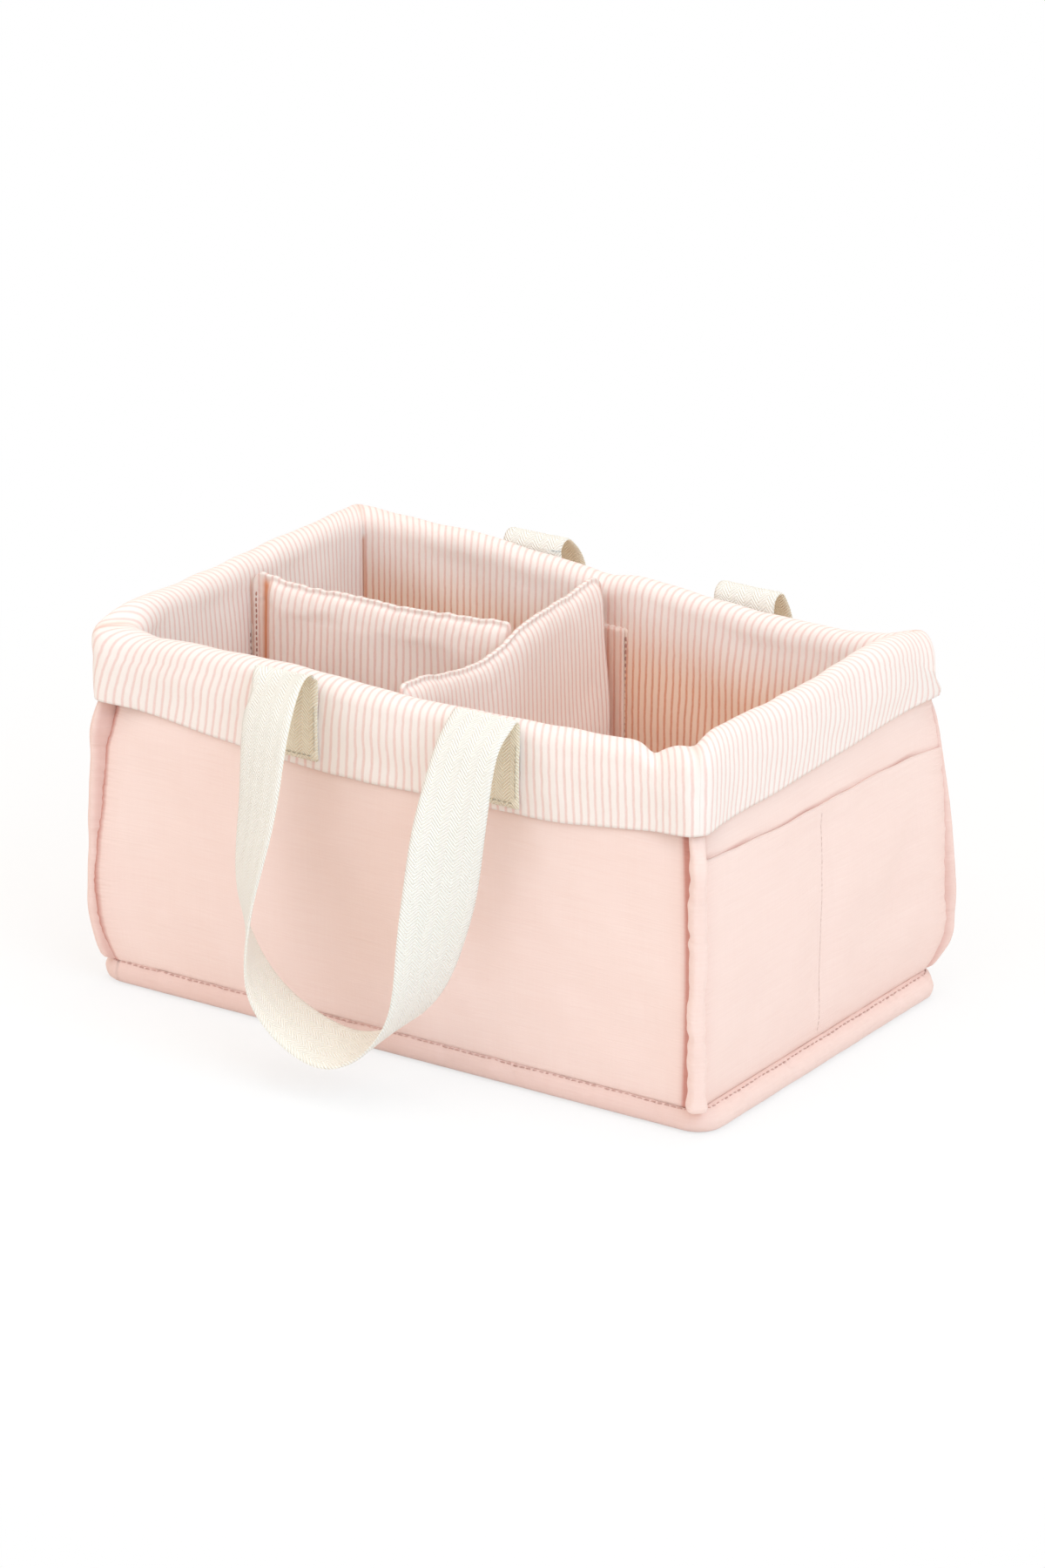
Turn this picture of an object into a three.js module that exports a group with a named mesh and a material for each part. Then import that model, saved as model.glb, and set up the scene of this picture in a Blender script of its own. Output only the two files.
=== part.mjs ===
// Diaper caddy: a padded cloth basket with a turned-down striped cuff, two webbing handles, two end pockets
// and two lift-out dividers. Millimetres. X runs along the length, the front faces -Y and Z is up.
// The origin is on the floor, under the middle of the basket.

import * as THREE from "three";

// Basket
const SHELL_LENGTH = 374;
const SHELL_DEPTH = 234;
const RIM_HEIGHT = 205;
const FABRIC = 0.8;
const WALL_PAD = 12;
const CLEARANCE = 0.3;

// Base
const BASE_THICKNESS = 12;
const BASE_LIP_END = 10;
const BASE_LIP_FRONT = 3;
const BASE_CORNER_RADIUS = 14;
const BASE_EDGE_ROUND = 5;
const BASE_LIP_UNDER_FLOOR = 6;
const BASE_BOARD = 2;

// Wall cushions
const FRONT_CROWN = 3;
const END_CROWN = 1;
const SEAM_DRAW = 4;
const SEAM_ROUND = 14;

// Rim and cuff
const ROLL_HEIGHT = 8;
const CUFF_DEPTH = 41;
const CUFF_DIP = 8;
const CUFF_PUFF = 2;
const COVER_TUCK = 1;

// Corner seams
const FLANGE_PROUD = 8;
const FLANGE_FLARE = 4;
const FLANGE_THICKNESS = 6;
const FLANGE_END_THICKNESS = 3.6;
const FLANGE_LIFT = 6;
const FLANGE_END_ROUND = 6;

// End pockets
const POCKET_MOUTH_HEIGHT = 145;
const POCKET_BELLY = 5.5;
const POCKET_MARGIN = 8;
const POCKET_HEM_DEPTH = 14;
const POCKET_HEM_EXTRA = 0.6;

// Handles
const WEBBING_WIDTH = 38;
const WEBBING_THICKNESS = 1.8;
const HANDLE_SPACING = 128;
const HANDLE_DROP = 176;
const HANDLE_REACH = 46;
const HANDLE_BOTTOM_TILT = 13;
const HINGE_BELOW_RIM = 5;
const TAB_MARGIN = 2;

// Dividers
const DIVIDER_HEIGHT = 186;
const DIVIDER_THICKNESS = 12;
const DIVIDER_SAG = 5;
const DIVIDER_SEAM = 3;
const DIVIDER_ROUND = 16;
const CROSS_DIVIDER_X = -8;
const LONG_DIVIDER_Y = 4;
const TAPE_THICKNESS = 1.2;
const LOOP_TAPE_WIDTH = 25;
const HOOK_TAPE_WIDTH = 20;
const TAPE_HEIGHT = 150;
const TAPE_LIFT = 12;

// Levels and layers worked out from the sizes above
const WALL_BOTTOM = BASE_THICKNESS + CLEARANCE;
const ROLL_START = RIM_HEIGHT - ROLL_HEIGHT;
const CUFF_CORNER = RIM_HEIGHT - CUFF_DEPTH;
const CUFF_LOW = CUFF_CORNER - CUFF_DIP;
const COVER_TOP = ROLL_START - COVER_TUCK;
const PAD_INNER = -(FABRIC + CLEARANCE + WALL_PAD);
const LINING_INNER = PAD_INNER - CLEARANCE - FABRIC;
const CUFF_FACE = CLEARANCE + FABRIC;
const MITRE_GAP = CLEARANCE / Math.SQRT2;
const FLOOR_TOP = WALL_BOTTOM + FABRIC;
const DIVIDER_BOTTOM = FLOOR_TOP + CLEARANCE;
const INNER_HALF_LENGTH = SHELL_LENGTH / 2 + LINING_INNER;
const INNER_HALF_DEPTH = SHELL_DEPTH / 2 + LINING_INNER;
const HINGE_HEIGHT = RIM_HEIGHT - HINGE_BELOW_RIM;

const COLOURS = {
  pink: "#f5dcd3",
  stripe: "#f3dfd3",
  webbing: "#f6f2e6",
  wadding: "#f4f3ef",
  board: "#d9d6cf",
  tape: "#efd3c8",
};

const caddy = new THREE.Group();

function add(parent, name, geometry, colour, roughness = 0.9) {
  const material = new THREE.MeshStandardMaterial({ color: COLOURS[colour], roughness, metalness: 0 });
  const mesh = new THREE.Mesh(geometry, material);
  mesh.name = name;
  parent.add(mesh);
  return mesh;
}

// Triangles that fill one flat ring of points, wound the same way as the ring itself.
function capOf(ring) {
  const normal = new THREE.Vector3();
  ring.forEach((point, k) => normal.add(new THREE.Vector3().crossVectors(point, ring[(k + 1) % ring.length])));
  const flat = ring.map((point) => {
    if (Math.abs(normal.x) >= Math.max(Math.abs(normal.y), Math.abs(normal.z))) {
      return new THREE.Vector2(point.y, point.z);
    }
    if (Math.abs(normal.y) >= Math.abs(normal.z)) {
      return new THREE.Vector2(point.z, point.x);
    }
    return new THREE.Vector2(point.x, point.y);
  });
  const ringSign = Math.sign(THREE.ShapeUtils.area(flat));
  return THREE.ShapeUtils.triangulateShape(flat, []).map((face) => {
    const faceSign = Math.sign(THREE.ShapeUtils.area(face.map((k) => flat[k])));
    return faceSign === ringSign ? face : [face[0], face[2], face[1]];
  });
}

// A closed solid through a row of rings that all have the same number of points.
// The second half of each ring is split along the other diagonal, so that the two faces of a sheet stay parallel.
function loft(rings) {
  const count = rings[0].length;
  const faces = [];
  for (let r = 0; r + 1 < rings.length; r += 1) {
    for (let k = 0; k < count; k += 1) {
      const here = r * count + k;
      const beside = r * count + ((k + 1) % count);
      if (k < count / 2) {
        faces.push([here, beside, beside + count], [here, beside + count, here + count]);
      } else {
        faces.push([here, beside, here + count], [beside, beside + count, here + count]);
      }
    }
  }
  const lastStart = (rings.length - 1) * count;
  capOf(rings[0]).forEach(([a, b, c]) => faces.push([a, c, b]));
  capOf(rings[rings.length - 1]).forEach((face) => faces.push(face.map((k) => lastStart + k)));

  const points = rings.flat();
  const volume = faces.reduce((sum, [a, b, c]) => {
    const cross = new THREE.Vector3().crossVectors(points[b], points[c]);
    return sum + points[a].dot(cross);
  }, 0);
  const outward = volume > 0 ? faces : faces.map(([a, b, c]) => [a, c, b]);

  const geometry = new THREE.BufferGeometry();
  geometry.setFromPoints(points);
  geometry.setIndex(outward.flat());
  geometry.computeVertexNormals();
  return geometry;
}

// Places across a quarter-round edge where its facets meet, as shares of its radius.
const ROUND_SHARES = [0, 0.15, 0.45, 1];

// Height from 0 to 1 of a quarter-round edge, at a distance in from that edge.
function quarterRound(distance, radius) {
  const remaining = Math.max(0, 1 - distance / radius);
  return Math.sqrt(1 - remaining * remaining);
}

function smooth(value) {
  const clamped = Math.min(1, Math.max(0, value));
  return clamped * clamped * (3 - 2 * clamped);
}

// Even steps from a first value to a last one.
function spread(first, last, steps) {
  return Array.from({ length: steps + 1 }, (_, k) => first + ((last - first) * k) / steps);
}

// The base: a rounded slab whose edge rolls over into a lip under the walls.
const BASE_HALF_LENGTH = SHELL_LENGTH / 2 + BASE_LIP_END;
const BASE_HALF_DEPTH = SHELL_DEPTH / 2 + BASE_LIP_FRONT;
const BASE_CORNER_STEPS = 5;
const BASE_EDGE_STEPS = 8;

function roundedRectangle(halfLength, halfDepth, radius, z) {
  const centres = [
    [halfLength - radius, halfDepth - radius],
    [radius - halfLength, halfDepth - radius],
    [radius - halfLength, radius - halfDepth],
    [halfLength - radius, radius - halfDepth],
  ];
  return centres.flatMap(([x, y], corner) =>
    spread(0, Math.PI / 2, BASE_CORNER_STEPS).map((step) => {
      const angle = step + (corner * Math.PI) / 2;
      return new THREE.Vector3(x + radius * Math.cos(angle), y + radius * Math.sin(angle), z);
    }),
  );
}

function baseRing(inset, z) {
  return roundedRectangle(BASE_HALF_LENGTH - inset, BASE_HALF_DEPTH - inset, BASE_CORNER_RADIUS - inset, z);
}

// Rings up the rolled edge of a slab between two levels, from a given level to its top face.
function rolledEdge(inset, bottom, top, from) {
  const half = (top - bottom) / 2;
  const start = Math.asin((from - bottom) / half - 1);
  return spread(start, Math.PI / 2, BASE_EDGE_STEPS).map((angle) =>
    baseRing(inset + BASE_EDGE_ROUND * (1 - Math.cos(angle)), bottom + half * (1 + Math.sin(angle))),
  );
}

function baseCover() {
  const mouth = (z) => {
    const halfLength = INNER_HALF_LENGTH - BASE_LIP_UNDER_FLOOR;
    const halfDepth = INNER_HALF_DEPTH - BASE_LIP_UNDER_FLOOR;
    return roundedRectangle(halfLength, halfDepth, BASE_LIP_UNDER_FLOOR, z);
  };
  const outside = rolledEdge(0, 0, BASE_THICKNESS, 0);
  const inside = rolledEdge(FABRIC, FABRIC, BASE_THICKNESS - FABRIC, FABRIC).reverse();
  return loft([...outside, mouth(BASE_THICKNESS), mouth(BASE_THICKNESS - FABRIC), ...inside]);
}

const CAVITY_INSET = FABRIC + CLEARANCE;
const BOARD_TOP = CAVITY_INSET + BASE_BOARD;
const BOARD_INSET = CAVITY_INSET + BASE_EDGE_ROUND;

function baseBoard() {
  return loft([baseRing(BOARD_INSET, CAVITY_INSET), baseRing(BOARD_INSET, BOARD_TOP)]);
}

function basePad() {
  const top = BASE_THICKNESS - CAVITY_INSET;
  return loft(rolledEdge(CAVITY_INSET, CAVITY_INSET, top, BOARD_TOP + CLEARANCE));
}

function slab(xRange, yRange, zRange) {
  const geometry = new THREE.BoxGeometry(
    xRange[1] - xRange[0],
    yRange[1] - yRange[0],
    zRange[1] - zRange[0],
  );
  return geometry.translate((xRange[0] + xRange[1]) / 2, (yRange[0] + yRange[1]) / 2, (zRange[0] + zRange[1]) / 2);
}

function baseLining() {
  const halfLength = INNER_HALF_LENGTH - CLEARANCE;
  const halfDepth = INNER_HALF_DEPTH - CLEARANCE;
  return slab([-halfLength, halfLength], [-halfDepth, halfDepth], [WALL_BOTTOM, FLOOR_TOP]);
}

add(caddy, "base_cover", baseCover(), "pink");
add(caddy, "base_board", baseBoard(), "board", 0.6);
add(caddy, "base_pad", basePad(), "wadding");
add(caddy, "base_lining", baseLining(), "stripe");

// The four walls. Each is made as the front wall is, with outward along -Y, and turned about Z to its side.
const SIDES = {
  front: { halfRun: SHELL_LENGTH / 2, standOff: SHELL_DEPTH / 2, crown: FRONT_CROWN, turn: 0 },
  right_end: { halfRun: SHELL_DEPTH / 2, standOff: SHELL_LENGTH / 2, crown: END_CROWN, turn: Math.PI / 2 },
  back: { halfRun: SHELL_LENGTH / 2, standOff: SHELL_DEPTH / 2, crown: FRONT_CROWN, turn: Math.PI },
  left_end: { halfRun: SHELL_DEPTH / 2, standOff: SHELL_LENGTH / 2, crown: END_CROWN, turn: -Math.PI / 2 },
};
const SEAM_STEPS = ROUND_SHARES.map((share) => share * SEAM_ROUND);
const CROWN_STEPS = 4;
const ROLL_STEPS = 8;
const CUFF_STEPS = 4;
const CUFF_STATIONS = 8;

// A point on a wall: a share of its run from -1 to 1, a distance out from the cover's plane, and a height.
// Each layer is mitred where two walls meet.
function wallPoint(side, share, out, z) {
  return new THREE.Vector3(share * (side.halfRun + out - MITRE_GAP), -(side.standOff + out), z);
}

function seamShares(side) {
  const ends = SEAM_STEPS.map((distance) => 1 - distance / side.halfRun);
  const inner = ends[ends.length - 1];
  return [...ends.map((share) => -share), ...spread(-inner, inner, CROWN_STEPS).slice(1, -1), ...ends.reverse()];
}

const COVER_LEVELS = [
  ...SEAM_STEPS.map((distance) => WALL_BOTTOM + distance),
  ...spread(WALL_BOTTOM + SEAM_ROUND, CUFF_LOW, CROWN_STEPS).slice(1),
  COVER_TOP,
];

// How far the cover's outer face stands out from its plane: crowned in the middle, drawn in at the seams.
function coverFace(side, share, z) {
  const fromCorner = side.halfRun * (1 - Math.abs(share));
  const seam = quarterRound(fromCorner, SEAM_ROUND) * quarterRound(z - WALL_BOTTOM, SEAM_ROUND);
  const middle = (WALL_BOTTOM + CUFF_LOW) / 2;
  const rise = Math.min(1, Math.abs(z - middle) / (CUFF_LOW - middle));
  return SEAM_DRAW * (seam - 1) + side.crown * (1 - share * share) * (1 - rise * rise);
}

function coverRing(side, share) {
  const outer = COVER_LEVELS.map((z) => wallPoint(side, share, coverFace(side, share, z), z));
  const inner = COVER_LEVELS.map((z) => wallPoint(side, share, coverFace(side, share, z) - FABRIC, z));
  return [...outer, ...inner.reverse()];
}

function padRing(side, share) {
  const face = (z) => coverFace(side, share, z) - FABRIC - CLEARANCE;
  const outer = COVER_LEVELS.map((z) => wallPoint(side, share, face(z), z));
  const rollOuter = face(ROLL_START);
  const centre = (rollOuter + PAD_INNER) / 2;
  const halfWidth = (rollOuter - PAD_INNER) / 2;
  const height = ((ROLL_HEIGHT - FABRIC - 2 * CLEARANCE) * halfWidth) / (WALL_PAD / 2);
  const roll = spread(0, Math.PI, ROLL_STEPS).map((angle) => {
    const out = centre + halfWidth * Math.cos(angle);
    return wallPoint(side, share, out, ROLL_START + height * Math.sin(angle));
  });
  return [...outer, ...roll, wallPoint(side, share, PAD_INNER, WALL_BOTTOM)];
}

// The cuff's outer face at a height, the roll over the rim included.
function cuffFace(z) {
  if (z > ROLL_START) {
    const centre = (LINING_INNER + CUFF_FACE) / 2;
    const halfWidth = (CUFF_FACE - LINING_INNER) / 2;
    const climb = (z - ROLL_START) / ROLL_HEIGHT;
    return centre + halfWidth * Math.sqrt(1 - climb * climb);
  }
  return CUFF_FACE + CUFF_PUFF * Math.sin((Math.PI * (z - CUFF_LOW)) / (ROLL_START - CUFF_LOW));
}

// The cuff's lower edge dips in the middle of each wall.
function cuffEdge(share) {
  return CUFF_LOW + CUFF_DIP * share * share;
}

// One side of the lining: up the inside, over the rim and down the outside, at a depth into the cloth.
function liningPath(side, share, depth) {
  const inside = LINING_INNER + depth;
  const outside = CUFF_FACE - depth;
  const centre = (inside + outside) / 2;
  const halfWidth = (outside - inside) / 2;
  const roll = spread(Math.PI, 0, ROLL_STEPS).map((angle) => {
    const out = centre + halfWidth * Math.cos(angle);
    return wallPoint(side, share, out, ROLL_START + (ROLL_HEIGHT - depth) * Math.sin(angle));
  });
  const cuff = spread(ROLL_START, cuffEdge(share), CUFF_STEPS).slice(1);
  return [
    wallPoint(side, share, inside, WALL_BOTTOM),
    ...roll,
    ...cuff.map((z) => wallPoint(side, share, cuffFace(z) - depth, z)),
  ];
}

function liningRing(side, share) {
  return [...liningPath(side, share, 0), ...liningPath(side, share, FABRIC).reverse()];
}

const wallGroups = {};
for (const [name, side] of Object.entries(SIDES)) {
  const wall = new THREE.Group();
  wall.rotation.z = side.turn;
  caddy.add(wall);
  wallGroups[name] = wall;
  const shares = seamShares(side);
  add(wall, `${name}_cover`, loft(shares.map((share) => coverRing(side, share))), "pink");
  add(wall, `${name}_pad`, loft(shares.map((share) => padRing(side, share))), "wadding");
  const cuffShares = spread(-1, 1, CUFF_STATIONS);
  add(wall, `${name}_lining`, loft(cuffShares.map((share) => liningRing(side, share))), "stripe");
}

// The proud flange of the sewn seam at each upright corner, made for the back right corner and turned round.
const FLANGE_BOTTOM = BASE_THICKNESS + FLANGE_LIFT;
const FLANGE_SHARE = 1 - (FLANGE_THICKNESS + SEAM_DRAW) / (Math.min(SHELL_LENGTH, SHELL_DEPTH) / 2);
const FLANGE_TOP = cuffEdge(FLANGE_SHARE) - CLEARANCE;
const FLANGE_LEVELS = 6;
const FLANGE_TIP_STEPS = 6;

function flangeRing(z) {
  const rise = (z - FLANGE_BOTTOM) / (FLANGE_TOP - FLANGE_BOTTOM);
  const endRound = quarterRound(z - FLANGE_BOTTOM, FLANGE_END_ROUND);
  const tip = SEAM_DRAW * Math.SQRT2 + FLANGE_PROUD + FLANGE_FLARE * (1 - rise) - FLANGE_END_ROUND * (1 - endRound);
  const half = (FLANGE_END_THICKNESS + (FLANGE_THICKNESS - FLANGE_END_THICKNESS) * endRound) / 2;
  const root = 2 * CLEARANCE;
  const section = [new THREE.Vector2(root, -CLEARANCE), new THREE.Vector2(root + half, -half)];
  for (const angle of spread(-Math.PI / 2, Math.PI / 2, FLANGE_TIP_STEPS)) {
    section.push(new THREE.Vector2(tip - half + half * Math.cos(angle), half * Math.sin(angle)));
  }
  section.push(new THREE.Vector2(root + half, half), new THREE.Vector2(root, CLEARANCE));
  return section.map(({ x, y }) => new THREE.Vector3((x - y) / Math.SQRT2, (x + y) / Math.SQRT2, z));
}

function cornerFlange() {
  const ends = ROUND_SHARES.map((share) => FLANGE_BOTTOM + share * FLANGE_END_ROUND);
  const body = spread(FLANGE_BOTTOM + FLANGE_END_ROUND, FLANGE_TOP, FLANGE_LEVELS).slice(1);
  return loft([...ends, ...body].map(flangeRing));
}

const CORNERS = [
  ["back_right", 1, 1, 0],
  ["back_left", -1, 1, Math.PI / 2],
  ["front_left", -1, -1, Math.PI],
  ["front_right", 1, -1, -Math.PI / 2],
];
for (const [name, xSign, ySign, turn] of CORNERS) {
  const flange = add(caddy, `${name}_corner_seam`, cornerFlange(), "pink");
  flange.position.set(xSign * (SHELL_LENGTH / 2 - SEAM_DRAW), ySign * (SHELL_DEPTH / 2 - SEAM_DRAW), 0);
  flange.rotation.z = turn;
}

// Patch pockets: one cloth sheet over each end, sewn at its sides, bottom and middle and slack between.
const POCKET_BOTTOM = WALL_BOTTOM + POCKET_MARGIN;
const POCKET_HALF_STEPS = 8;
const POCKET_LEVEL_STEPS = 6;
const POCKET_FLATNESS = 4;
const POCKET_FULL_BY = 0.4;

function pocketSlack(side, share, z) {
  const reach = 1 - POCKET_MARGIN / side.halfRun;
  const across = Math.abs(share) / reach;
  const belly = 1 - Math.abs(2 * across - 1) ** POCKET_FLATNESS;
  const rise = (z - POCKET_BOTTOM) / (POCKET_MOUTH_HEIGHT - POCKET_BOTTOM);
  return 2 * CLEARANCE + POCKET_BELLY * belly * smooth(rise / POCKET_FULL_BY);
}

function pocketRing(side, share) {
  const hemStart = POCKET_MOUTH_HEIGHT - POCKET_HEM_DEPTH;
  const levels = [
    ...spread(POCKET_BOTTOM, hemStart, POCKET_LEVEL_STEPS),
    hemStart + POCKET_HEM_EXTRA,
    POCKET_MOUTH_HEIGHT,
  ];
  const back = levels.map((z) => coverFace(side, share, z) + pocketSlack(side, share, z));
  const front = levels.map((z, k) => back[k] + FABRIC + (z > hemStart ? POCKET_HEM_EXTRA : 0));
  return [
    ...levels.map((z, k) => wallPoint(side, share, front[k], z)),
    ...levels.map((z, k) => wallPoint(side, share, back[k], z)).reverse(),
  ];
}

for (const [name, sideName] of [["left_pocket", "left_end"], ["right_pocket", "right_end"]]) {
  const side = SIDES[sideName];
  const reach = 1 - POCKET_MARGIN / side.halfRun;
  const shares = spread(-reach, reach, 2 * POCKET_HALF_STEPS);
  add(wallGroups[sideName], name, loft(shares.map((share) => pocketRing(side, share))), "pink");
}

// Handles: a sewn tab of webbing on the cuff, and a loop that swings on the crease at the tab's top.
const TAB_LEVEL_STEPS = 5;
const LOOP_STEPS = 40;
const LOOP_EASE = 1.6;
const LOOP_SQUARENESS = 5.5;
const LOOP_LEAN = 2.3;
const LOOP_TURN_FROM = 0.4;
const TAB_TOP = HINGE_HEIGHT - CLEARANCE / 2;
const HINGE_OUT = cuffFace(HINGE_HEIGHT) + CLEARANCE + WEBBING_THICKNESS + CLEARANCE / 2;

function ribbonRing(centre, across, thick) {
  const wide = across.clone().multiplyScalar(WEBBING_WIDTH / 2);
  const deep = thick.clone().multiplyScalar(WEBBING_THICKNESS / 2);
  const corners = [[-1, -1], [1, -1], [1, 1], [-1, 1]];
  return corners.map(([w, d]) => centre.clone().addScaledVector(wide, w).addScaledVector(deep, d));
}

// The tab lies on the cuff of the front wall, round a given place along the wall.
function handleTab(x) {
  const side = SIDES.front;
  const bottom = cuffEdge(HANDLE_SPACING / 2 / side.halfRun) + TAB_MARGIN;
  const levels = [...spread(bottom, ROLL_START, TAB_LEVEL_STEPS), TAB_TOP];
  return loft(
    levels.map((z) => {
      const out = cuffFace(z) + CLEARANCE + WEBBING_THICKNESS / 2;
      const centre = new THREE.Vector3(x, -(side.standOff + out), z);
      return ribbonRing(centre, new THREE.Vector3(1, 0, 0), new THREE.Vector3(0, 1, 0));
    }),
  );
}

// Middle of the webbing on the loop, from the right hinge at 1 through the lowest point at 0 to the left hinge at -1.
// The legs hang nearly straight and close into a round arch, and the loop leans out as it falls.
function loopPoint(place) {
  const fall = loopFall(place);
  const drop = WEBBING_THICKNESS + (HANDLE_DROP - WEBBING_THICKNESS) * fall;
  const x = (Math.sign(place) * HANDLE_SPACING * Math.sqrt(1 - fall ** LOOP_SQUARENESS)) / 2;
  const lean = HANDLE_REACH * (1 - (1 - fall) ** LOOP_LEAN);
  const out = HINGE_OUT + CLEARANCE / 2 + WEBBING_THICKNESS / 2 + lean;
  return new THREE.Vector3(x, -(SHELL_DEPTH / 2 + out), HINGE_HEIGHT - drop);
}

// Share of the drop reached at a place on the loop.
function loopFall(place) {
  return 1 - Math.abs(place) ** LOOP_EASE;
}

// Across the webbing: along the wall on the legs, and turning to face up where the arch closes.
function loopAcross(place, along) {
  const tilt = THREE.MathUtils.degToRad(HANDLE_BOTTOM_TILT);
  const lying = new THREE.Vector3(0, -Math.cos(tilt), -Math.sin(tilt));
  const turned = smooth((loopFall(place) - LOOP_TURN_FROM) / (1 - LOOP_TURN_FROM));
  const across = new THREE.Vector3(-Math.sign(place) * (1 - turned), 0, 0).addScaledVector(lying, turned);
  return across.addScaledVector(along, -across.dot(along)).normalize();
}

function handleLoop() {
  const places = spread(Math.PI / 2, -Math.PI / 2, LOOP_STEPS).map((angle) => Math.sin(angle));
  const path = places.map(loopPoint);
  const rings = path.map((point, k) => {
    const before = path[Math.max(k - 1, 0)];
    const after = path[Math.min(k + 1, path.length - 1)];
    const along = after.clone().sub(before).normalize();
    const across = loopAcross(places[k], along);
    return ribbonRing(point, across, new THREE.Vector3().crossVectors(along, across));
  });
  return loft(rings);
}

for (const sideName of ["front", "back"]) {
  const wall = wallGroups[sideName];
  const leftward = sideName === "front" ? -1 : 1;
  const half = HANDLE_SPACING / 2;
  add(wall, `${sideName}_left_handle_tab`, handleTab(leftward * half), "webbing");
  add(wall, `${sideName}_right_handle_tab`, handleTab(-leftward * half), "webbing");
  add(wall, `${sideName}_handle_webbing`, handleLoop(), "webbing");
}

// Dividers: two cloth faces over wadding, sewn flat round the edge, made along X and turned to their place.
const DIVIDER_STEPS = [0, ...ROUND_SHARES.slice(0, -1).map((share) => DIVIDER_SEAM + share * DIVIDER_ROUND)];
const DIVIDER_MIDDLE_STEPS = 2;
const DIVIDER_FLAT = DIVIDER_SEAM + DIVIDER_ROUND;

// Distances from one sewn edge to the other, with those within the sewn margin left out if asked.
function dividerLevels(length, leaveOut) {
  const edge = DIVIDER_STEPS.slice(leaveOut);
  const middle = spread(DIVIDER_FLAT, length - DIVIDER_FLAT, DIVIDER_MIDDLE_STEPS);
  return [...edge, ...middle, ...edge.map((distance) => length - distance).reverse()];
}

function dividerTop(x, halfLength) {
  const share = x / halfLength;
  return DIVIDER_HEIGHT - DIVIDER_SAG * (1 - share * share);
}

// Half the divider's thickness, from its distances to the nearest end and to the nearest of top and bottom.
function dividerHalf(fromEnd, fromEdge) {
  const thin = FABRIC + CLEARANCE / 2;
  const end = quarterRound(Math.max(0, fromEnd - DIVIDER_SEAM), DIVIDER_ROUND);
  const edge = quarterRound(Math.max(0, fromEdge - DIVIDER_SEAM), DIVIDER_ROUND);
  return thin + (DIVIDER_THICKNESS / 2 - thin) * end * edge;
}

// Rings along a divider between two depths under its faces; the depth gives Y from the half thickness.
function dividerSolid(halfLength, leaveOut, nearY, farY) {
  const rings = dividerLevels(2 * halfLength, leaveOut).map((run) => {
    const x = run - halfLength;
    const height = dividerTop(x, halfLength);
    const fromEnd = Math.min(run, 2 * halfLength - run);
    const points = dividerLevels(height, leaveOut).map((level) => ({
      z: DIVIDER_BOTTOM + level,
      half: dividerHalf(fromEnd, Math.min(level, height - level)),
    }));
    const near = points.map(({ z, half }) => new THREE.Vector3(x, nearY(half), z));
    const far = points.map(({ z, half }) => new THREE.Vector3(x, farY(half), z));
    return [...near, ...far.reverse()];
  });
  return loft(rings);
}

function addDivider(group, name, nearName, farName, halfLength) {
  const padHalf = (half) => half - FABRIC - CLEARANCE;
  const pad = dividerSolid(halfLength, 2, (half) => -padHalf(half), padHalf);
  const near = dividerSolid(halfLength, 0, (half) => -half, (half) => FABRIC - half);
  const far = dividerSolid(halfLength, 0, (half) => half - FABRIC, (half) => half);
  add(group, `${name}_pad`, pad, "wadding");
  add(group, `${name}_${nearName}_cover`, near, "stripe");
  add(group, `${name}_${farName}_cover`, far, "stripe");
}

// A strip of fastening tape standing on a wall, with its thickness along X from a given face.
function tape(face, width) {
  const bottom = DIVIDER_BOTTOM + TAPE_LIFT;
  return slab([face, face + TAPE_THICKNESS], [-width / 2, width / 2], [bottom, bottom + TAPE_HEIGHT]);
}

// Room at each end of a divider for the wall's tape and the divider's own tape.
const TAPE_STACK = 2 * TAPE_THICKNESS + 3 * CLEARANCE;
const HOOK_PLACE = TAPE_THICKNESS + CLEARANCE;

const crossHalf = INNER_HALF_DEPTH - TAPE_STACK;
const cross = new THREE.Group();
cross.position.x = CROSS_DIVIDER_X;
cross.rotation.z = Math.PI / 2;
caddy.add(cross);
addDivider(cross, "cross_divider", "right", "left", crossHalf);
add(cross, "cross_divider_back_hook_tape", tape(crossHalf + CLEARANCE, HOOK_TAPE_WIDTH), "tape");
add(cross, "cross_divider_front_hook_tape", tape(-crossHalf - HOOK_PLACE, HOOK_TAPE_WIDTH), "tape");

const longLeft = -INNER_HALF_LENGTH + TAPE_STACK;
const longRight = CROSS_DIVIDER_X - DIVIDER_THICKNESS / 2 - TAPE_STACK;
const longHalf = (longRight - longLeft) / 2;
const long = new THREE.Group();
long.position.set((longRight + longLeft) / 2, LONG_DIVIDER_Y, 0);
caddy.add(long);
addDivider(long, "long_divider", "front", "back", longHalf);
add(long, "long_divider_right_hook_tape", tape(longHalf + CLEARANCE, HOOK_TAPE_WIDTH), "tape");
add(long, "long_divider_left_hook_tape", tape(-longHalf - HOOK_PLACE, HOOK_TAPE_WIDTH), "tape");

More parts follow.
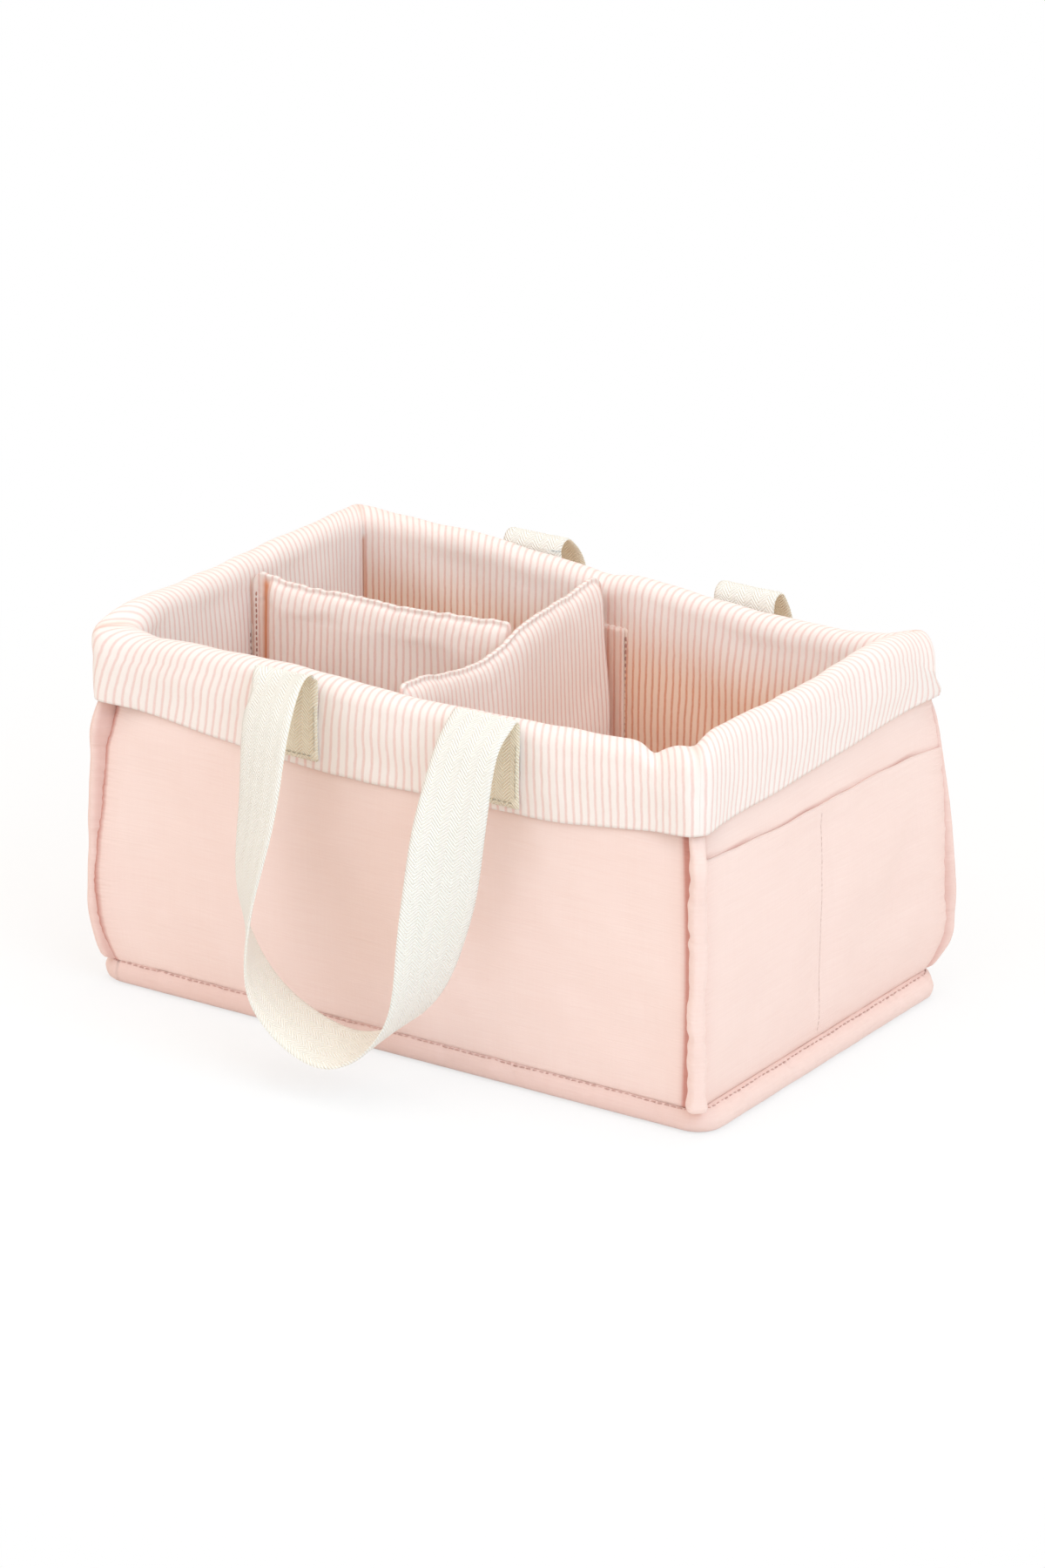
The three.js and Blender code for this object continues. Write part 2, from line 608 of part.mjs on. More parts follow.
// Loop tapes on the lining and on the cross divider, facing the hook tapes.
const LOOP_PLACES = [
  ["front_wall_loop_tape", CROSS_DIVIDER_X, -INNER_HALF_DEPTH + CLEARANCE, Math.PI / 2],
  ["back_wall_loop_tape", CROSS_DIVIDER_X, INNER_HALF_DEPTH - HOOK_PLACE, Math.PI / 2],
  ["left_wall_loop_tape", -INNER_HALF_LENGTH + CLEARANCE, LONG_DIVIDER_Y, 0],
  ["cross_divider_loop_tape", CROSS_DIVIDER_X - DIVIDER_THICKNESS / 2 - HOOK_PLACE, LONG_DIVIDER_Y, 0],
];
for (const [name, x, y, turn] of LOOP_PLACES) {
  const strip = add(caddy, name, tape(0, LOOP_TAPE_WIDTH), "tape");
  strip.position.set(x, y, 0);
  strip.rotation.z = turn;
}

export default caddy;
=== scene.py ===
"""Looks of the padded diaper caddy: cloth, webbing, stitching, camera and light.

Lengths are in millimetres until a mesh is made. Each wall is worked in its own frame: a runs along
the wall, n out of it from the basket's nominal face, and z up. Shares t run from -1 to 1 between the
two corner seams of a wall.
"""

import math

import bpy
import numpy as np
from mathutils import Matrix, Vector


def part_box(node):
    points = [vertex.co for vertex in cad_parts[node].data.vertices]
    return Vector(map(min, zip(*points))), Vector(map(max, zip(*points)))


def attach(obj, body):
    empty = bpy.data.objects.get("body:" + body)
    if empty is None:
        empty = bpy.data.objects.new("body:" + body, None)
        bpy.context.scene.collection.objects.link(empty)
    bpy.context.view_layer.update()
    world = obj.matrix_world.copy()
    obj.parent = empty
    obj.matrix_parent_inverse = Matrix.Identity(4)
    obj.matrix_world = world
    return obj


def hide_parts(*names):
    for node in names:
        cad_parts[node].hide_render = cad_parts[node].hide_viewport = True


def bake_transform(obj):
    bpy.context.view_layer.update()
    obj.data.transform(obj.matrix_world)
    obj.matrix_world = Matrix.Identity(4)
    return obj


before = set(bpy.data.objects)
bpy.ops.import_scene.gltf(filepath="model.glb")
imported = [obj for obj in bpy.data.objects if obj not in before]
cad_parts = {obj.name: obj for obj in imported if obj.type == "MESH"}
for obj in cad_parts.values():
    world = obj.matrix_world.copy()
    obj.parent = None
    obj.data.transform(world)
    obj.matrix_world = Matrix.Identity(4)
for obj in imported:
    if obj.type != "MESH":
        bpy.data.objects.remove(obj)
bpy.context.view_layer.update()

MM = 0.001
TURN = 2 * math.pi

# Basket, as in the model
HALF_LENGTH = 187.0
HALF_DEPTH = 117.0
WALL_BOTTOM = 12.0
PAD_INNER = -13.0
LINING_INNER = -14.2
FLOOR_TOP = 13.1
CLOTH = 0.9

# Each wall: half its length, its direction in plan, and the seed of its unevenness
HALF = {"front": HALF_LENGTH, "back": HALF_LENGTH, "left_end": HALF_DEPTH, "right_end": HALF_DEPTH}
AHEAD = {"front": (1, 0), "right_end": (0, 1), "back": (-1, 0), "left_end": (0, -1)}
SEED = {"front": 11, "right_end": 23, "back": 37, "left_end": 41}
POCKETS = {"right_end": "right_pocket", "left_end": "left_pocket"}


# Small tools

WAVE_COUNT = 7


def smooth(t):
    t = np.clip(t, 0.0, 1.0)
    return t * t * (3.0 - 2.0 * t)


def ramp(x, start, length):
    return smooth((x - start) / length)


def rounding(t):
    """A quarter circle that rises from 0 at t = 0 to 1 at t = 1 and stays there."""
    t = np.clip(t, 0.0, 1.0)
    return np.sqrt(1.0 - (1.0 - t) ** 2)


def bell(x, width):
    return np.exp(-((x / width) ** 2))


def spread(*axes):
    """Values that are given along different axes as one grid of points."""
    return np.stack(np.broadcast_arrays(*axes), -1)


def through(*points):
    """A smooth curve through (place, value) points."""
    xs, ys = np.array(points, float).T
    slopes = np.gradient(ys, xs)

    def at(x):
        x = np.clip(x, xs[0], xs[-1])
        k = np.clip(np.searchsorted(xs, x) - 1, 0, len(xs) - 2)
        h = xs[k + 1] - xs[k]
        t = (x - xs[k]) / h
        rise = (1 + 2 * t) * (1 - t) ** 2 * ys[k] + t * t * (3 - 2 * t) * ys[k + 1]
        return rise + h * (t * (1 - t) ** 2 * slopes[k] + t * t * (t - 1) * slopes[k + 1])

    return at


def tenths(*values):
    """A smooth curve through values at every tenth from 0 to 1."""
    return through(*zip(np.arange(11) / 10, values))


def waves(a, b, length, seed):
    """Soft unevenness of about unit height whose hills lie about that length apart."""
    rng = np.random.RandomState(seed)
    total = np.zeros(np.broadcast(a, b).shape)
    for _ in range(WAVE_COUNT):
        angle = rng.uniform(0, TURN)
        pace = TURN / (length * rng.uniform(0.7, 1.5))
        total = total + np.cos(pace * (a * math.cos(angle) + b * math.sin(angle)) + rng.uniform(0, TURN))
    return total / math.sqrt(WAVE_COUNT)


def crowded(count):
    """A row of shares from 0 to 1, with a number of them crowded above 0.9."""
    return np.concatenate([np.linspace(0, 0.9, 52)[:-1], np.linspace(0.9, 1, count)])[None, :]


def graded(count, power=1.7):
    """Shares from -1 to 1, closer together towards both ends."""
    s = np.linspace(-1, 1, count)
    return np.sign(s) * (1 - (1 - np.abs(s)) ** power)


def place(side, a, n, z):
    """A point of a wall's own frame in the caddy's frame."""
    ahead = np.array(AHEAD[side])
    out = np.array([ahead[1], -ahead[0]])
    reach = HALF_DEPTH if ahead[0] else HALF_LENGTH
    a, n, z = np.broadcast_arrays(a, n, z)
    xy = a[..., None] * ahead + (reach + n)[..., None] * out
    return np.concatenate([xy, z[..., None]], -1)


def unit(vectors):
    return vectors / np.maximum(np.linalg.norm(vectors, axis=-1, keepdims=True), 1e-9)


def normals_of(grid):
    return unit(np.cross(np.gradient(grid, axis=0), np.gradient(grid, axis=1)))


def squared(value, power):
    """A sine or cosine pressed towards its ends."""
    return np.sign(value) * np.abs(value) ** power


def even_out(line, passes, keep):
    """Smooths a line of points in its place, with a number of points kept at both ends."""
    for _ in range(passes):
        before, after = line[keep - 1:-keep - 1], line[keep + 1:len(line) - keep + 1]
        line[keep:-keep] = (before + 2 * line[keep:-keep] + after) / 4
    return line


def running(line):
    """Running length along a line of points."""
    return np.concatenate([[0], np.cumsum(np.linalg.norm(np.diff(line, axis=0), axis=1))])


def add_object(name, data):
    made = bpy.data.objects.new(name, data)
    bpy.context.scene.collection.objects.link(made)
    return made


def make_piece(name, points, faces, uv, material, **attributes):
    mesh = bpy.data.meshes.new(name)
    mesh.from_pydata((points * MM).tolist(), [], faces)
    mesh.shade_smooth()
    corner = np.zeros(len(mesh.loops), int)
    mesh.loops.foreach_get("vertex_index", corner)
    layer = mesh.uv_layers.new(name="UVMap")
    layer.data.foreach_set("uv", (uv.reshape(-1, 2)[corner] * MM).ravel())
    for key, values in attributes.items():
        attribute = mesh.attributes.new(key, "FLOAT", "POINT")
        attribute.data.foreach_set("value", np.asarray(values, np.float32).ravel())
    mesh.materials.append(material)
    mesh.update()
    return add_object(name, mesh)


def quads(shape):
    """Point numbers of a grid, and its faces."""
    k = np.arange(shape[0] * shape[1]).reshape(shape[:2])
    return k, np.stack([k[:-1, :-1], k[1:, :-1], k[1:, 1:], k[:-1, 1:]], -1).reshape(-1, 4)


def slab_piece(name, face, back, uv, material, out=1, **attributes):
    """A closed slab between two grids of points. With out = -1 the face looks the other way."""
    k, front = quads(face.shape)
    edge = np.concatenate([k[:-1, 0], k[-1, :-1], k[:0:-1, -1], k[0, :0:-1]])
    ahead = np.roll(edge, -1)
    side = np.stack([edge, edge + k.size, ahead + k.size, ahead], -1)
    faces = np.concatenate([front, front[:, ::-1] + k.size, side])[:, ::out]
    points = np.concatenate([face.reshape(-1, 3), back.reshape(-1, 3)])
    doubled = {key: np.tile(values.ravel(), 2) for key, values in attributes.items()}
    return make_piece(name, points, faces.tolist(), np.stack([uv, uv]), material, **doubled)


def loft_piece(name, rings, uv, material, **attributes):
    """A closed tube through rings of the same number of points, with a fan at each end."""
    count, around = rings.shape[:2]
    k = np.arange(count * around).reshape(count, around)
    n = np.roll(k, -1, axis=1)
    faces = np.stack([k[:-1], n[:-1], n[1:], k[1:]], -1).reshape(-1, 4).tolist()
    faces += [k[0, ::-1].tolist(), k[-1].tolist()]
    return make_piece(name, rings.reshape(-1, 3), faces, uv, material, **attributes)


# Cloth runs

CLOTH_STEPS = 16
CLOTH_STRIDE = 2
CLOTH_SETTINGS = dict(quality=6, mass=0.2, tension_stiffness=20, compression_stiffness=20,
                      shear_stiffness=8, bending_stiffness=0.4, vertex_group_mass="pins", use_pressure=True)


def cloth_move(points, faces, pins, pressure, slack):
    """How far each point moves in a short cloth run that is held at its pins, in millimetres."""
    scene = bpy.context.scene
    mesh = bpy.data.meshes.new("cloth_run")
    mesh.from_pydata((points * MM).tolist(), [], faces.tolist())
    runner = add_object("cloth_run", mesh)
    runner.vertex_groups.new(name="pins").add(np.flatnonzero(pins).tolist(), 1.0, "REPLACE")
    cloth = runner.modifiers.new("cloth", "CLOTH")
    for key, value in CLOTH_SETTINGS.items():
        setattr(cloth.settings, key, value)
    cloth.settings.uniform_pressure_force = pressure
    cloth.settings.shrink_min = -slack
    cloth.settings.effector_weights.gravity = 0
    cloth.collision_settings.use_collision = False
    cloth.point_cache.frame_end = CLOTH_STEPS
    for step in range(1, CLOTH_STEPS + 1):
        scene.frame_set(step)
    ready = runner.evaluated_get(bpy.context.evaluated_depsgraph_get())
    moved = np.zeros(len(points) * 3)
    ready.data.vertices.foreach_get("co", moved)
    bpy.data.objects.remove(runner, do_unlink=True)
    bpy.data.meshes.remove(mesh)
    scene.frame_set(1)
    return moved.reshape(-1, 3) / MM - points


def filled(values, places, count):
    """Values known at some places along the first axis, at every place up to count."""
    columns = values.reshape(len(values), -1).T
    fine = np.stack([np.interp(np.arange(count), places, column) for column in columns], -1)
    return fine.reshape(count, *values.shape[1:])


def settled(grid, pins, pressure, slack, cap, out=1):
    """The grid after a short cloth run on a coarser copy. All but a few points move less than the cap."""
    nu, nv = grid.shape[:2]
    iu, iv = (np.unique(np.append(np.arange(0, n, CLOTH_STRIDE), n - 1)) for n in (nu, nv))
    coarse = grid[np.ix_(iu, iv)]
    _, faces = quads(coarse.shape)
    held = pins[np.ix_(iu, iv)].ravel()
    move = cloth_move(coarse.reshape(-1, 3), faces[:, ::out], held, pressure, slack)
    far = np.percentile(np.linalg.norm(move, axis=1), 99.5)
    move = (move * min(1.0, cap / max(far, 1e-6))).reshape(coarse.shape)
    fine = filled(filled(move, iu, nu).swapaxes(0, 1), iv, nv)
    for _ in range(2):
        even_out(fine.swapaxes(0, 1), 1, 1)
        even_out(fine, 1, 1)
    return grid + fine.swapaxes(0, 1)


# Materials

WEAVE_PITCH = 0.62
STRIPE_PERIOD = 4.1
STRIPE_SHARE = 0.32
STRIPE_SOFT = 0.16
YARN_PITCH = 1.9
PICK_PITCH = 0.75
HERRINGBONE = 4.75
TWIST = 0.5


def linear(*screen):
    """A colour as shown on a screen, 0 to 255 and not near black, in linear light."""
    return (*((np.array(screen) / 255.0 + 0.055) / 1.055) ** 2.4, 1.0)


class Graph:
    """The node tree of a material or world, written as expressions."""

    def __init__(self, owner):
        self.owner = owner
        owner.use_nodes = True
        self.tree = owner.node_tree
        self.tree.nodes.clear()

    def node(self, kind, **values):
        made = self.tree.nodes.new(kind)
        for key, value in values.items():
            self.put(made, key.replace("_", " "), value)
        return made

    def put(self, node, key, value):
        socket = node.inputs[key]
        if isinstance(value, bpy.types.NodeSocket):
            self.tree.links.new(value, socket)
        else:
            socket.default_value = value

    def math(self, operation, *values, clamp=False):
        made = self.tree.nodes.new("ShaderNodeMath")
        made.operation = operation
        made.use_clamp = clamp
        for k, value in enumerate(values):
            self.put(made, k, value)
        return made.outputs[0]

    def times(self, *values, **more):
        return self.math("MULTIPLY", *values, **more)

    def scaled(self, *values, **more):
        """A value times a scale, plus another value."""
        return self.math("MULTIPLY_ADD", *values, **more)

    def mix(self, factor, first, second):
        """A mix of two colours, each a socket or red, green and blue as shown on a screen."""
        made = self.tree.nodes.new("ShaderNodeMix")
        made.data_type = "RGBA"
        self.put(made, 0, factor)
        for key, colour in ((6, first), (7, second)):
            self.put(made, key, linear(*colour) if isinstance(colour, tuple) else colour)
        return made.outputs[2]

    def attribute(self, name):
        made = self.node("ShaderNodeAttribute")
        made.attribute_name = name
        return made.outputs["Fac"]

    def either(self, factor, first, second):
        """The first shader where the factor is 0 and the second where it is 1."""
        made = self.node("ShaderNodeMixShader", Fac=factor)
        self.put(made, 1, first.outputs[0])
        self.put(made, 2, second.outputs[0])
        return made

    def show(self, shader, output="ShaderNodeOutputMaterial"):
        self.put(self.node(output), 0, shader.outputs[0])
        return self.owner

    def finish(self, colour, height, distance, roughness=0.92, sheen=0.2, tint=(1, 1, 1, 1)):
        bump = self.node("ShaderNodeBump", Distance=distance, Height=height)
        shader = self.node("ShaderNodeBsdfPrincipled", Base_Color=colour, Roughness=roughness,
                           Specular_IOR_Level=0.2, Sheen_Weight=sheen, Sheen_Roughness=0.6, Sheen_Tint=tint,
                           Normal=bump.outputs[0])
        return self.show(shader)


class ClothGraph(Graph):
    """A cloth material, with the millimetres across and along the cloth as its axes."""

    def __init__(self, name):
        super().__init__(bpy.data.materials.new(name))
        uv = self.node("ShaderNodeSeparateXYZ", Vector=self.node("ShaderNodeTexCoord").outputs["UV"])
        self.across, self.along = (self.times(uv.outputs[k], 1000.0) for k in (0, 1))

    def noise(self, across, along, detail):
        """Noise from 0 to 1 whose grain has these lengths across and along the cloth."""
        spot = self.node("ShaderNodeCombineXYZ", X=self.math("DIVIDE", self.across, across),
                         Y=self.math("DIVIDE", self.along, along))
        made = self.node("ShaderNodeTexNoise", Vector=spot.outputs[0], Scale=1.0, Detail=detail)
        return made.outputs["Fac"]

    def wave(self, value, length):
        return self.math("SINE", self.times(value, TURN / length))

    def weave(self):
        """Height of a plain weave from 0 to 1."""
        over = self.wave(self.across, WEAVE_PITCH)
        under = self.wave(self.along, WEAVE_PITCH)
        return self.scaled(self.times(over, under), 0.5, 0.5)


def pink_cloth():
    """Plain pale pink cotton with slubs along the weft and fine puckers beside its seams, with painted shade
    beside the seams and dark red painted shade in creases.
    """
    g = ClothGraph("pink_cotton")
    weft = g.noise(34.0, 0.8, 3.0)
    warp = g.noise(0.8, 40.0, 2.0)
    cloud = g.noise(70.0, 60.0, 3.0)
    tone = g.math("ADD", g.times(weft, 0.5), g.scaled(warp, 0.2, g.times(cloud, 0.3)))
    colour = g.mix(tone, (240, 208, 199), (251, 229, 221))
    # Beside the seams and on the flanges the cloth is painted darker as painted shade; the same mask also
    # sets where the puckers are
    seam = g.attribute("seam")
    colour = g.mix(g.times(seam, 0.35), colour, (236, 196, 186))
    # Dark red painted shade in creases, grooves and shadow lines, and on faces turned from the light
    colour = g.mix(g.times(g.attribute("crease"), 0.85), colour, (194, 120, 106))
    pucker = g.noise(14.0, 1.9, 1.0)
    height = g.scaled(g.weave(), 0.12, g.times(weft, 0.3))
    height = g.scaled(g.times(pucker, seam), 2.2, height)
    return g.finish(colour, height, 0.0004, sheen=0.25, tint=(1.0, 0.93, 0.9, 1.0))


def striped_cloth(name):
    """Cream cotton with fine pink stripes along the cloth, slightly crinkled, with painted shade: peach
    deeper inside and orange in creases.
    """
    g = ClothGraph(name)
    stray = g.noise(6.0, 9.0, 2.0)
    line = g.scaled(g.math("SUBTRACT", stray, 0.5), 0.9, g.across)
    part = g.math("PINGPONG", g.math("DIVIDE", line, STRIPE_PERIOD), 0.5)
    edge = g.math("DIVIDE", g.math("SUBTRACT", STRIPE_SHARE / 2, part), STRIPE_SOFT)
    stripe = g.math("ADD", edge, 0.5, clamp=True)
    thread = g.noise(0.7, 1.6, 2.0)
    stripe = g.times(stripe, g.scaled(thread, 0.5, 0.6), clamp=True)
    cloud = g.noise(50.0, 50.0, 3.0)
    # Painted depth shade: peach ground and orange-pink stripes deeper inside the basket
    deep = g.attribute("deep")
    ground = g.mix(cloud, (247, 235, 229), (251, 242, 237))
    ground = g.mix(deep, ground, (249, 219, 197))
    colour = g.mix(stripe, ground, g.mix(deep, (240, 207, 200), (226, 154, 122)))
    # Orange painted shade in mitres and in the gaps beside divider flaps and tapes
    colour = g.mix(g.times(g.attribute("crease"), 0.95), colour, (216, 128, 72))
    crinkle = g.noise(4.0, 10.0, 2.0)
    height = g.scaled(g.weave(), 0.15, g.times(crinkle, 0.9))
    height = g.scaled(stripe, -0.25, height)
    return g.finish(colour, height, 0.0005, tint=(1.0, 0.96, 0.94, 1.0))


def webbing_cloth():
    """Cream cotton webbing in a herringbone of thick yarn, with painted shade on its inner face: warmer
    cream, and tan higher up.
    """
    g = ClothGraph("cotton_webbing")
    fold = g.math("PINGPONG", g.across, HERRINGBONE)
    yarn = g.wave(g.math("ADD", fold, g.along), YARN_PITCH)
    pick = g.wave(g.along, PICK_PITCH)
    fleck = g.noise(1.2, 1.2, 3.0)
    tone = g.scaled(yarn, 0.46, g.scaled(fleck, 0.6, 0.2), clamp=True)
    outer = g.mix(tone, (244, 238, 227), (255, 253, 248))
    inner = g.mix(tone, (250, 241, 226), (255, 252, 244))
    # Painted shade: the inner face is warmer cream, and tan near the folds at the top
    colour = g.mix(g.attribute("inner"), outer, inner)
    colour = g.mix(g.attribute("tan"), colour, g.mix(tone, (251, 234, 207), (255, 248, 229)))
    height = g.scaled(yarn, 0.5, g.scaled(pick, 0.12, g.times(fleck, 0.4)))
    return g.finish(colour, height, 0.0004, roughness=0.9, tint=(1.0, 0.98, 0.94, 1.0))


def thread_cloth(name, dark, light):
    """Twisted sewing thread."""
    g = ClothGraph(name)
    twist = g.wave(g.math("ADD", g.across, g.along), TWIST)
    colour = g.mix(g.scaled(twist, 0.5, 0.5), dark, light)
    return g.finish(colour, twist, 0.0001, roughness=0.6, sheen=0.1)


def board_sheet():
    """Grey pressed board with a fibrous grain."""
    g = Graph(bpy.data.materials.new("pressed_board"))
    spot = g.node("ShaderNodeTexCoord").outputs["Object"]
    fibre = g.node("ShaderNodeTexNoise", Vector=spot, Scale=900.0, Detail=4.0).outputs["Fac"]
    colour = g.mix(fibre, (196, 190, 180), (222, 217, 208))
    return g.finish(colour, fibre, 0.0002, roughness=0.8, sheen=0.0)


PINK = pink_cloth()
STRIPED = striped_cloth("striped_cotton")
WEBBING = webbing_cloth()
TAPE = {"loop": striped_cloth("striped_tape"), "hook": striped_cloth("striped_hook_tape")}
# The rose, coral and tan threads are darker than the cloth they sew: partly the thread's own colour, partly
# painted shade of the needle holes
THREAD = thread_cloth("rose_thread", (204, 138, 122), (224, 166, 152))
PALE_THREAD = thread_cloth("pink_thread", (243, 212, 203), (250, 226, 218))
CORAL_THREAD = thread_cloth("coral_thread", (224, 174, 162), (238, 196, 186))
TAN_THREAD = thread_cloth("tan_thread", (234, 219, 193), (247, 237, 217))


def finished(piece, slot, body, *nodes):
    if body:
        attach(piece, body)
    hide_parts(*nodes)


# Rim, cuff and cover forms

CREST = {
    "front": through(
        (-187, 208), (-177, 203.5), (-167, 200.5), (-155, 201), (-140, 202), (-110, 202.6), (-85, 203),
        (-60, 202.6), (-35, 201.3), (0, 200.4), (62, 201), (100, 201.6), (118, 202.3), (142, 203.6),
        (156, 203.4), (164, 199.8), (170, 203), (178, 206.8), (187, 209)),
    "right_end": through(
        (-117, 209), (-100, 211), (-61, 210.5), (24, 210.5), (63, 212), (90, 211), (104, 209), (117, 206.5)),
    "back": through(
        (-187, 206.5), (-176, 203), (-165, 200), (-152, 198), (-95, 197), (-45, 199.5), (0, 202.5),
        (16, 200.5), (34, 203), (63, 204), (80, 206.5), (98, 208), (132, 208.5), (187, 209.5)),
    "left_end": through((-117, 209.5), (-60, 211), (0, 211), (60, 211), (100, 211.5), (117, 208)),
}
HEM = {
    "front": through(
        (-187, 163), (-150, 159.9), (-122, 157), (-90, 154), (-56, 152.2), (-20, 151.5), (8, 152),
        (60, 153), (97, 153.7), (142, 158.5), (187, 164.4)),
    "right_end": through((-117, 164.4), (-60, 163.8), (0, 165.5), (45, 167.4), (117, 171)),
    "back": through((-187, 171), (-150, 165), (-90, 159), (0, 156), (90, 158), (187, 165)),
    "left_end": through((-117, 165), (0, 162.5), (117, 163)),
}
# How much painted shade each wall's lining gets deeper inside the basket
DEPTH_SHADE = {"front": 0.6, "back": 1.0, "right_end": 0.6, "left_end": 0.3}
CROWN = {"front": 3.0, "back": 3.0, "right_end": 1.0, "left_end": 1.0}
TAPE_AT = {"front": -8.0, "back": 8.0, "left_end": -4.0, "right_end": None}
ROLL_DROP = 11.0
CORNER_ROUND = 7.0
LINING_PACE = 0.87
SEAM_DRAW = 4.0
SEAM_ROUND = 6.0
CUFF_SLANT = through((-187, 0.2), (-60, 0.1), (0, 0.0), (187, 0.0))
# Each corner: how far the cuff stands out, the share of that at its shoulder, the dip and drop of the
# roll, where the panels tuck in behind the seam, how round the roll is in plan, and how full the panels
# are beside the seam at each height
CORNER = {
    "front_left": dict(
        flare=6.5, shoulder=0.75, dimple=4.0, drop=2.0, tuck=4.5, round=11.0,
        full=through((12, 0.5), (20, 3), (120, 3), (138, 1.5), (150, -0.8), (186, -1.2))),
    "front_right": dict(
        flare=5.0, shoulder=0.7, dimple=1.2, drop=4.0, tuck=7.0, round=11.0,
        full=through((12, 0), (28, 1.5), (130, 1.5), (150, -1), (186, -1.5))),
    "back_right": dict(
        flare=3.8, shoulder=0.3, dimple=0.4, drop=13.0, tuck=1.0, round=12.0,
        full=through((12, 0), (20, 3), (30, 6.3), (60, 6.8), (100, 6), (140, 4), (186, 1))),
    "back_left": dict(
        flare=5.0, shoulder=0.7, dimple=0.6, drop=1.0, tuck=1.0, round=5.0,
        full=through((12, 0), (28, 2), (130, 2), (186, 0))),
}
ENDS = {"front": ("front_left", "front_right"), "right_end": ("front_right", "back_right"),
        "back": ("back_right", "back_left"), "left_end": ("back_left", "front_left")}
MOUTH = through((-117, 148.5), (-60, 145.5), (0, 144), (60, 143), (117, 140.5))
MITRE = 1 - math.sqrt(0.5)
# Share of painted shade along the lining's inner corner mitres
MITRE_SHADE = 0.6
LONG_WALL = 150.0
CUFF_ROWS = 19
COVER_RISE = 163.0


def by_end(side, t, key, z=None):
    """A corner's value, or its curve at a height, for the half of the wall next to it."""
    first, last = (CORNER[name][key] for name in ENDS[side])
    if z is not None:
        first, last = first(z), last(z)
    return np.where(t < 0, first, last)


def seam_gap(side, t):
    """How far a place on a wall is from the nearer corner seam."""
    return (1 - np.abs(t)) * HALF[side]


def mouth_height(side, t):
    return MOUTH(t * HALF[side] * (1 if side == "right_end" else -1))


def cover_out(side, t, z):
    """How far the outer cloth stands out of the wall."""
    run = t * HALF[side]
    gap = seam_gap(side, t)
    full = by_end(side, t, "full", z) * bell(gap, 20.0)
    up = np.clip((z - WALL_BOTTOM) / COVER_RISE, 0, 1)
    crown = CROWN[side] * (1 - t * t) ** 0.7 * np.sin(math.pi * up) ** 0.6
    corner = SEAM_DRAW * (1 - rounding(gap / SEAM_ROUND))
    low = 0.8 * (1 - rounding((z - WALL_BOTTOM) / 10.0))
    high = 1.4 * ramp(z, 146.0, 18.0)
    free = smooth(gap / 22.0) * ramp(z, WALL_BOTTOM, 22.0) * (1 - ramp(z, 150.0, 14.0))
    uneven = 0.55 * waves(run, z, 75.0, SEED[side]) + 0.25 * waves(run, z, 28.0, SEED[side] + 1)
    seam = np.exp(-gap / 8.0) * rounding(gap / 5.0)
    pucker = 0.3 * seam * waves(run * 0.15, z, 6.5, SEED[side] + 2)
    return crown + full - corner - low - high + free * uneven + pucker


def rounded_corner(half, t, n, r):
    """Run and stand-off of a point when the wall turns its corner with a radius r."""
    reach = half + n
    a = t * (reach - MITRE * r)
    gap = np.maximum(reach - np.abs(a), 0)
    turn = np.maximum(r - gap, 0)
    return a, n - (r - np.sqrt(np.maximum(r * r - turn * turn, 0)))


def wall_cover(side):
    """The padded outer panel of a wall, from the base seam up under the cuff."""
    half = HALF[side]
    t = graded(96 if half > LONG_WALL else 66)[:, None]
    foot = np.linspace(WALL_BOTTOM, 30, 10)[:-1]
    z = np.concatenate([foot, np.linspace(30, 168, 66), [176.0, 186.0]])[None, :]
    n = cover_out(side, t, z)
    face = place(side, t * (half + n), n, z)
    gap = seam_gap(side, t) + 0 * z
    pins = (gap < 4) | (z < 15) | (z > 162)
    face = settled(face, pins, pressure=0.6, slack=0.004, cap=1.6)
    back = place(side, t * (half + PAD_INNER), PAD_INNER, z)
    # Painted shade: the cover darkens beside the seams, and dark red painted shade lies in the groove where
    # each panel tucks in at a corner
    crease = bell(np.maximum(gap - by_end(side, t, "tuck"), 0), 1.6) * (1.0 if side == "front" else 0.4)
    if side in POCKETS:
        # and a painted shadow line just above the pocket mouth
        crease = np.maximum(crease, 0.6 * bell(z - mouth_height(side, t) - 0.3, 0.7))
    piece = slab_piece(f"{side}_cover_cloth", face, back, spread(t * half, z), PINK, seam=bell(gap, 11.0),
                       crease=crease)
    finished(piece, "outer_cloth", "shell", f"{side}_cover", f"{side}_pad")


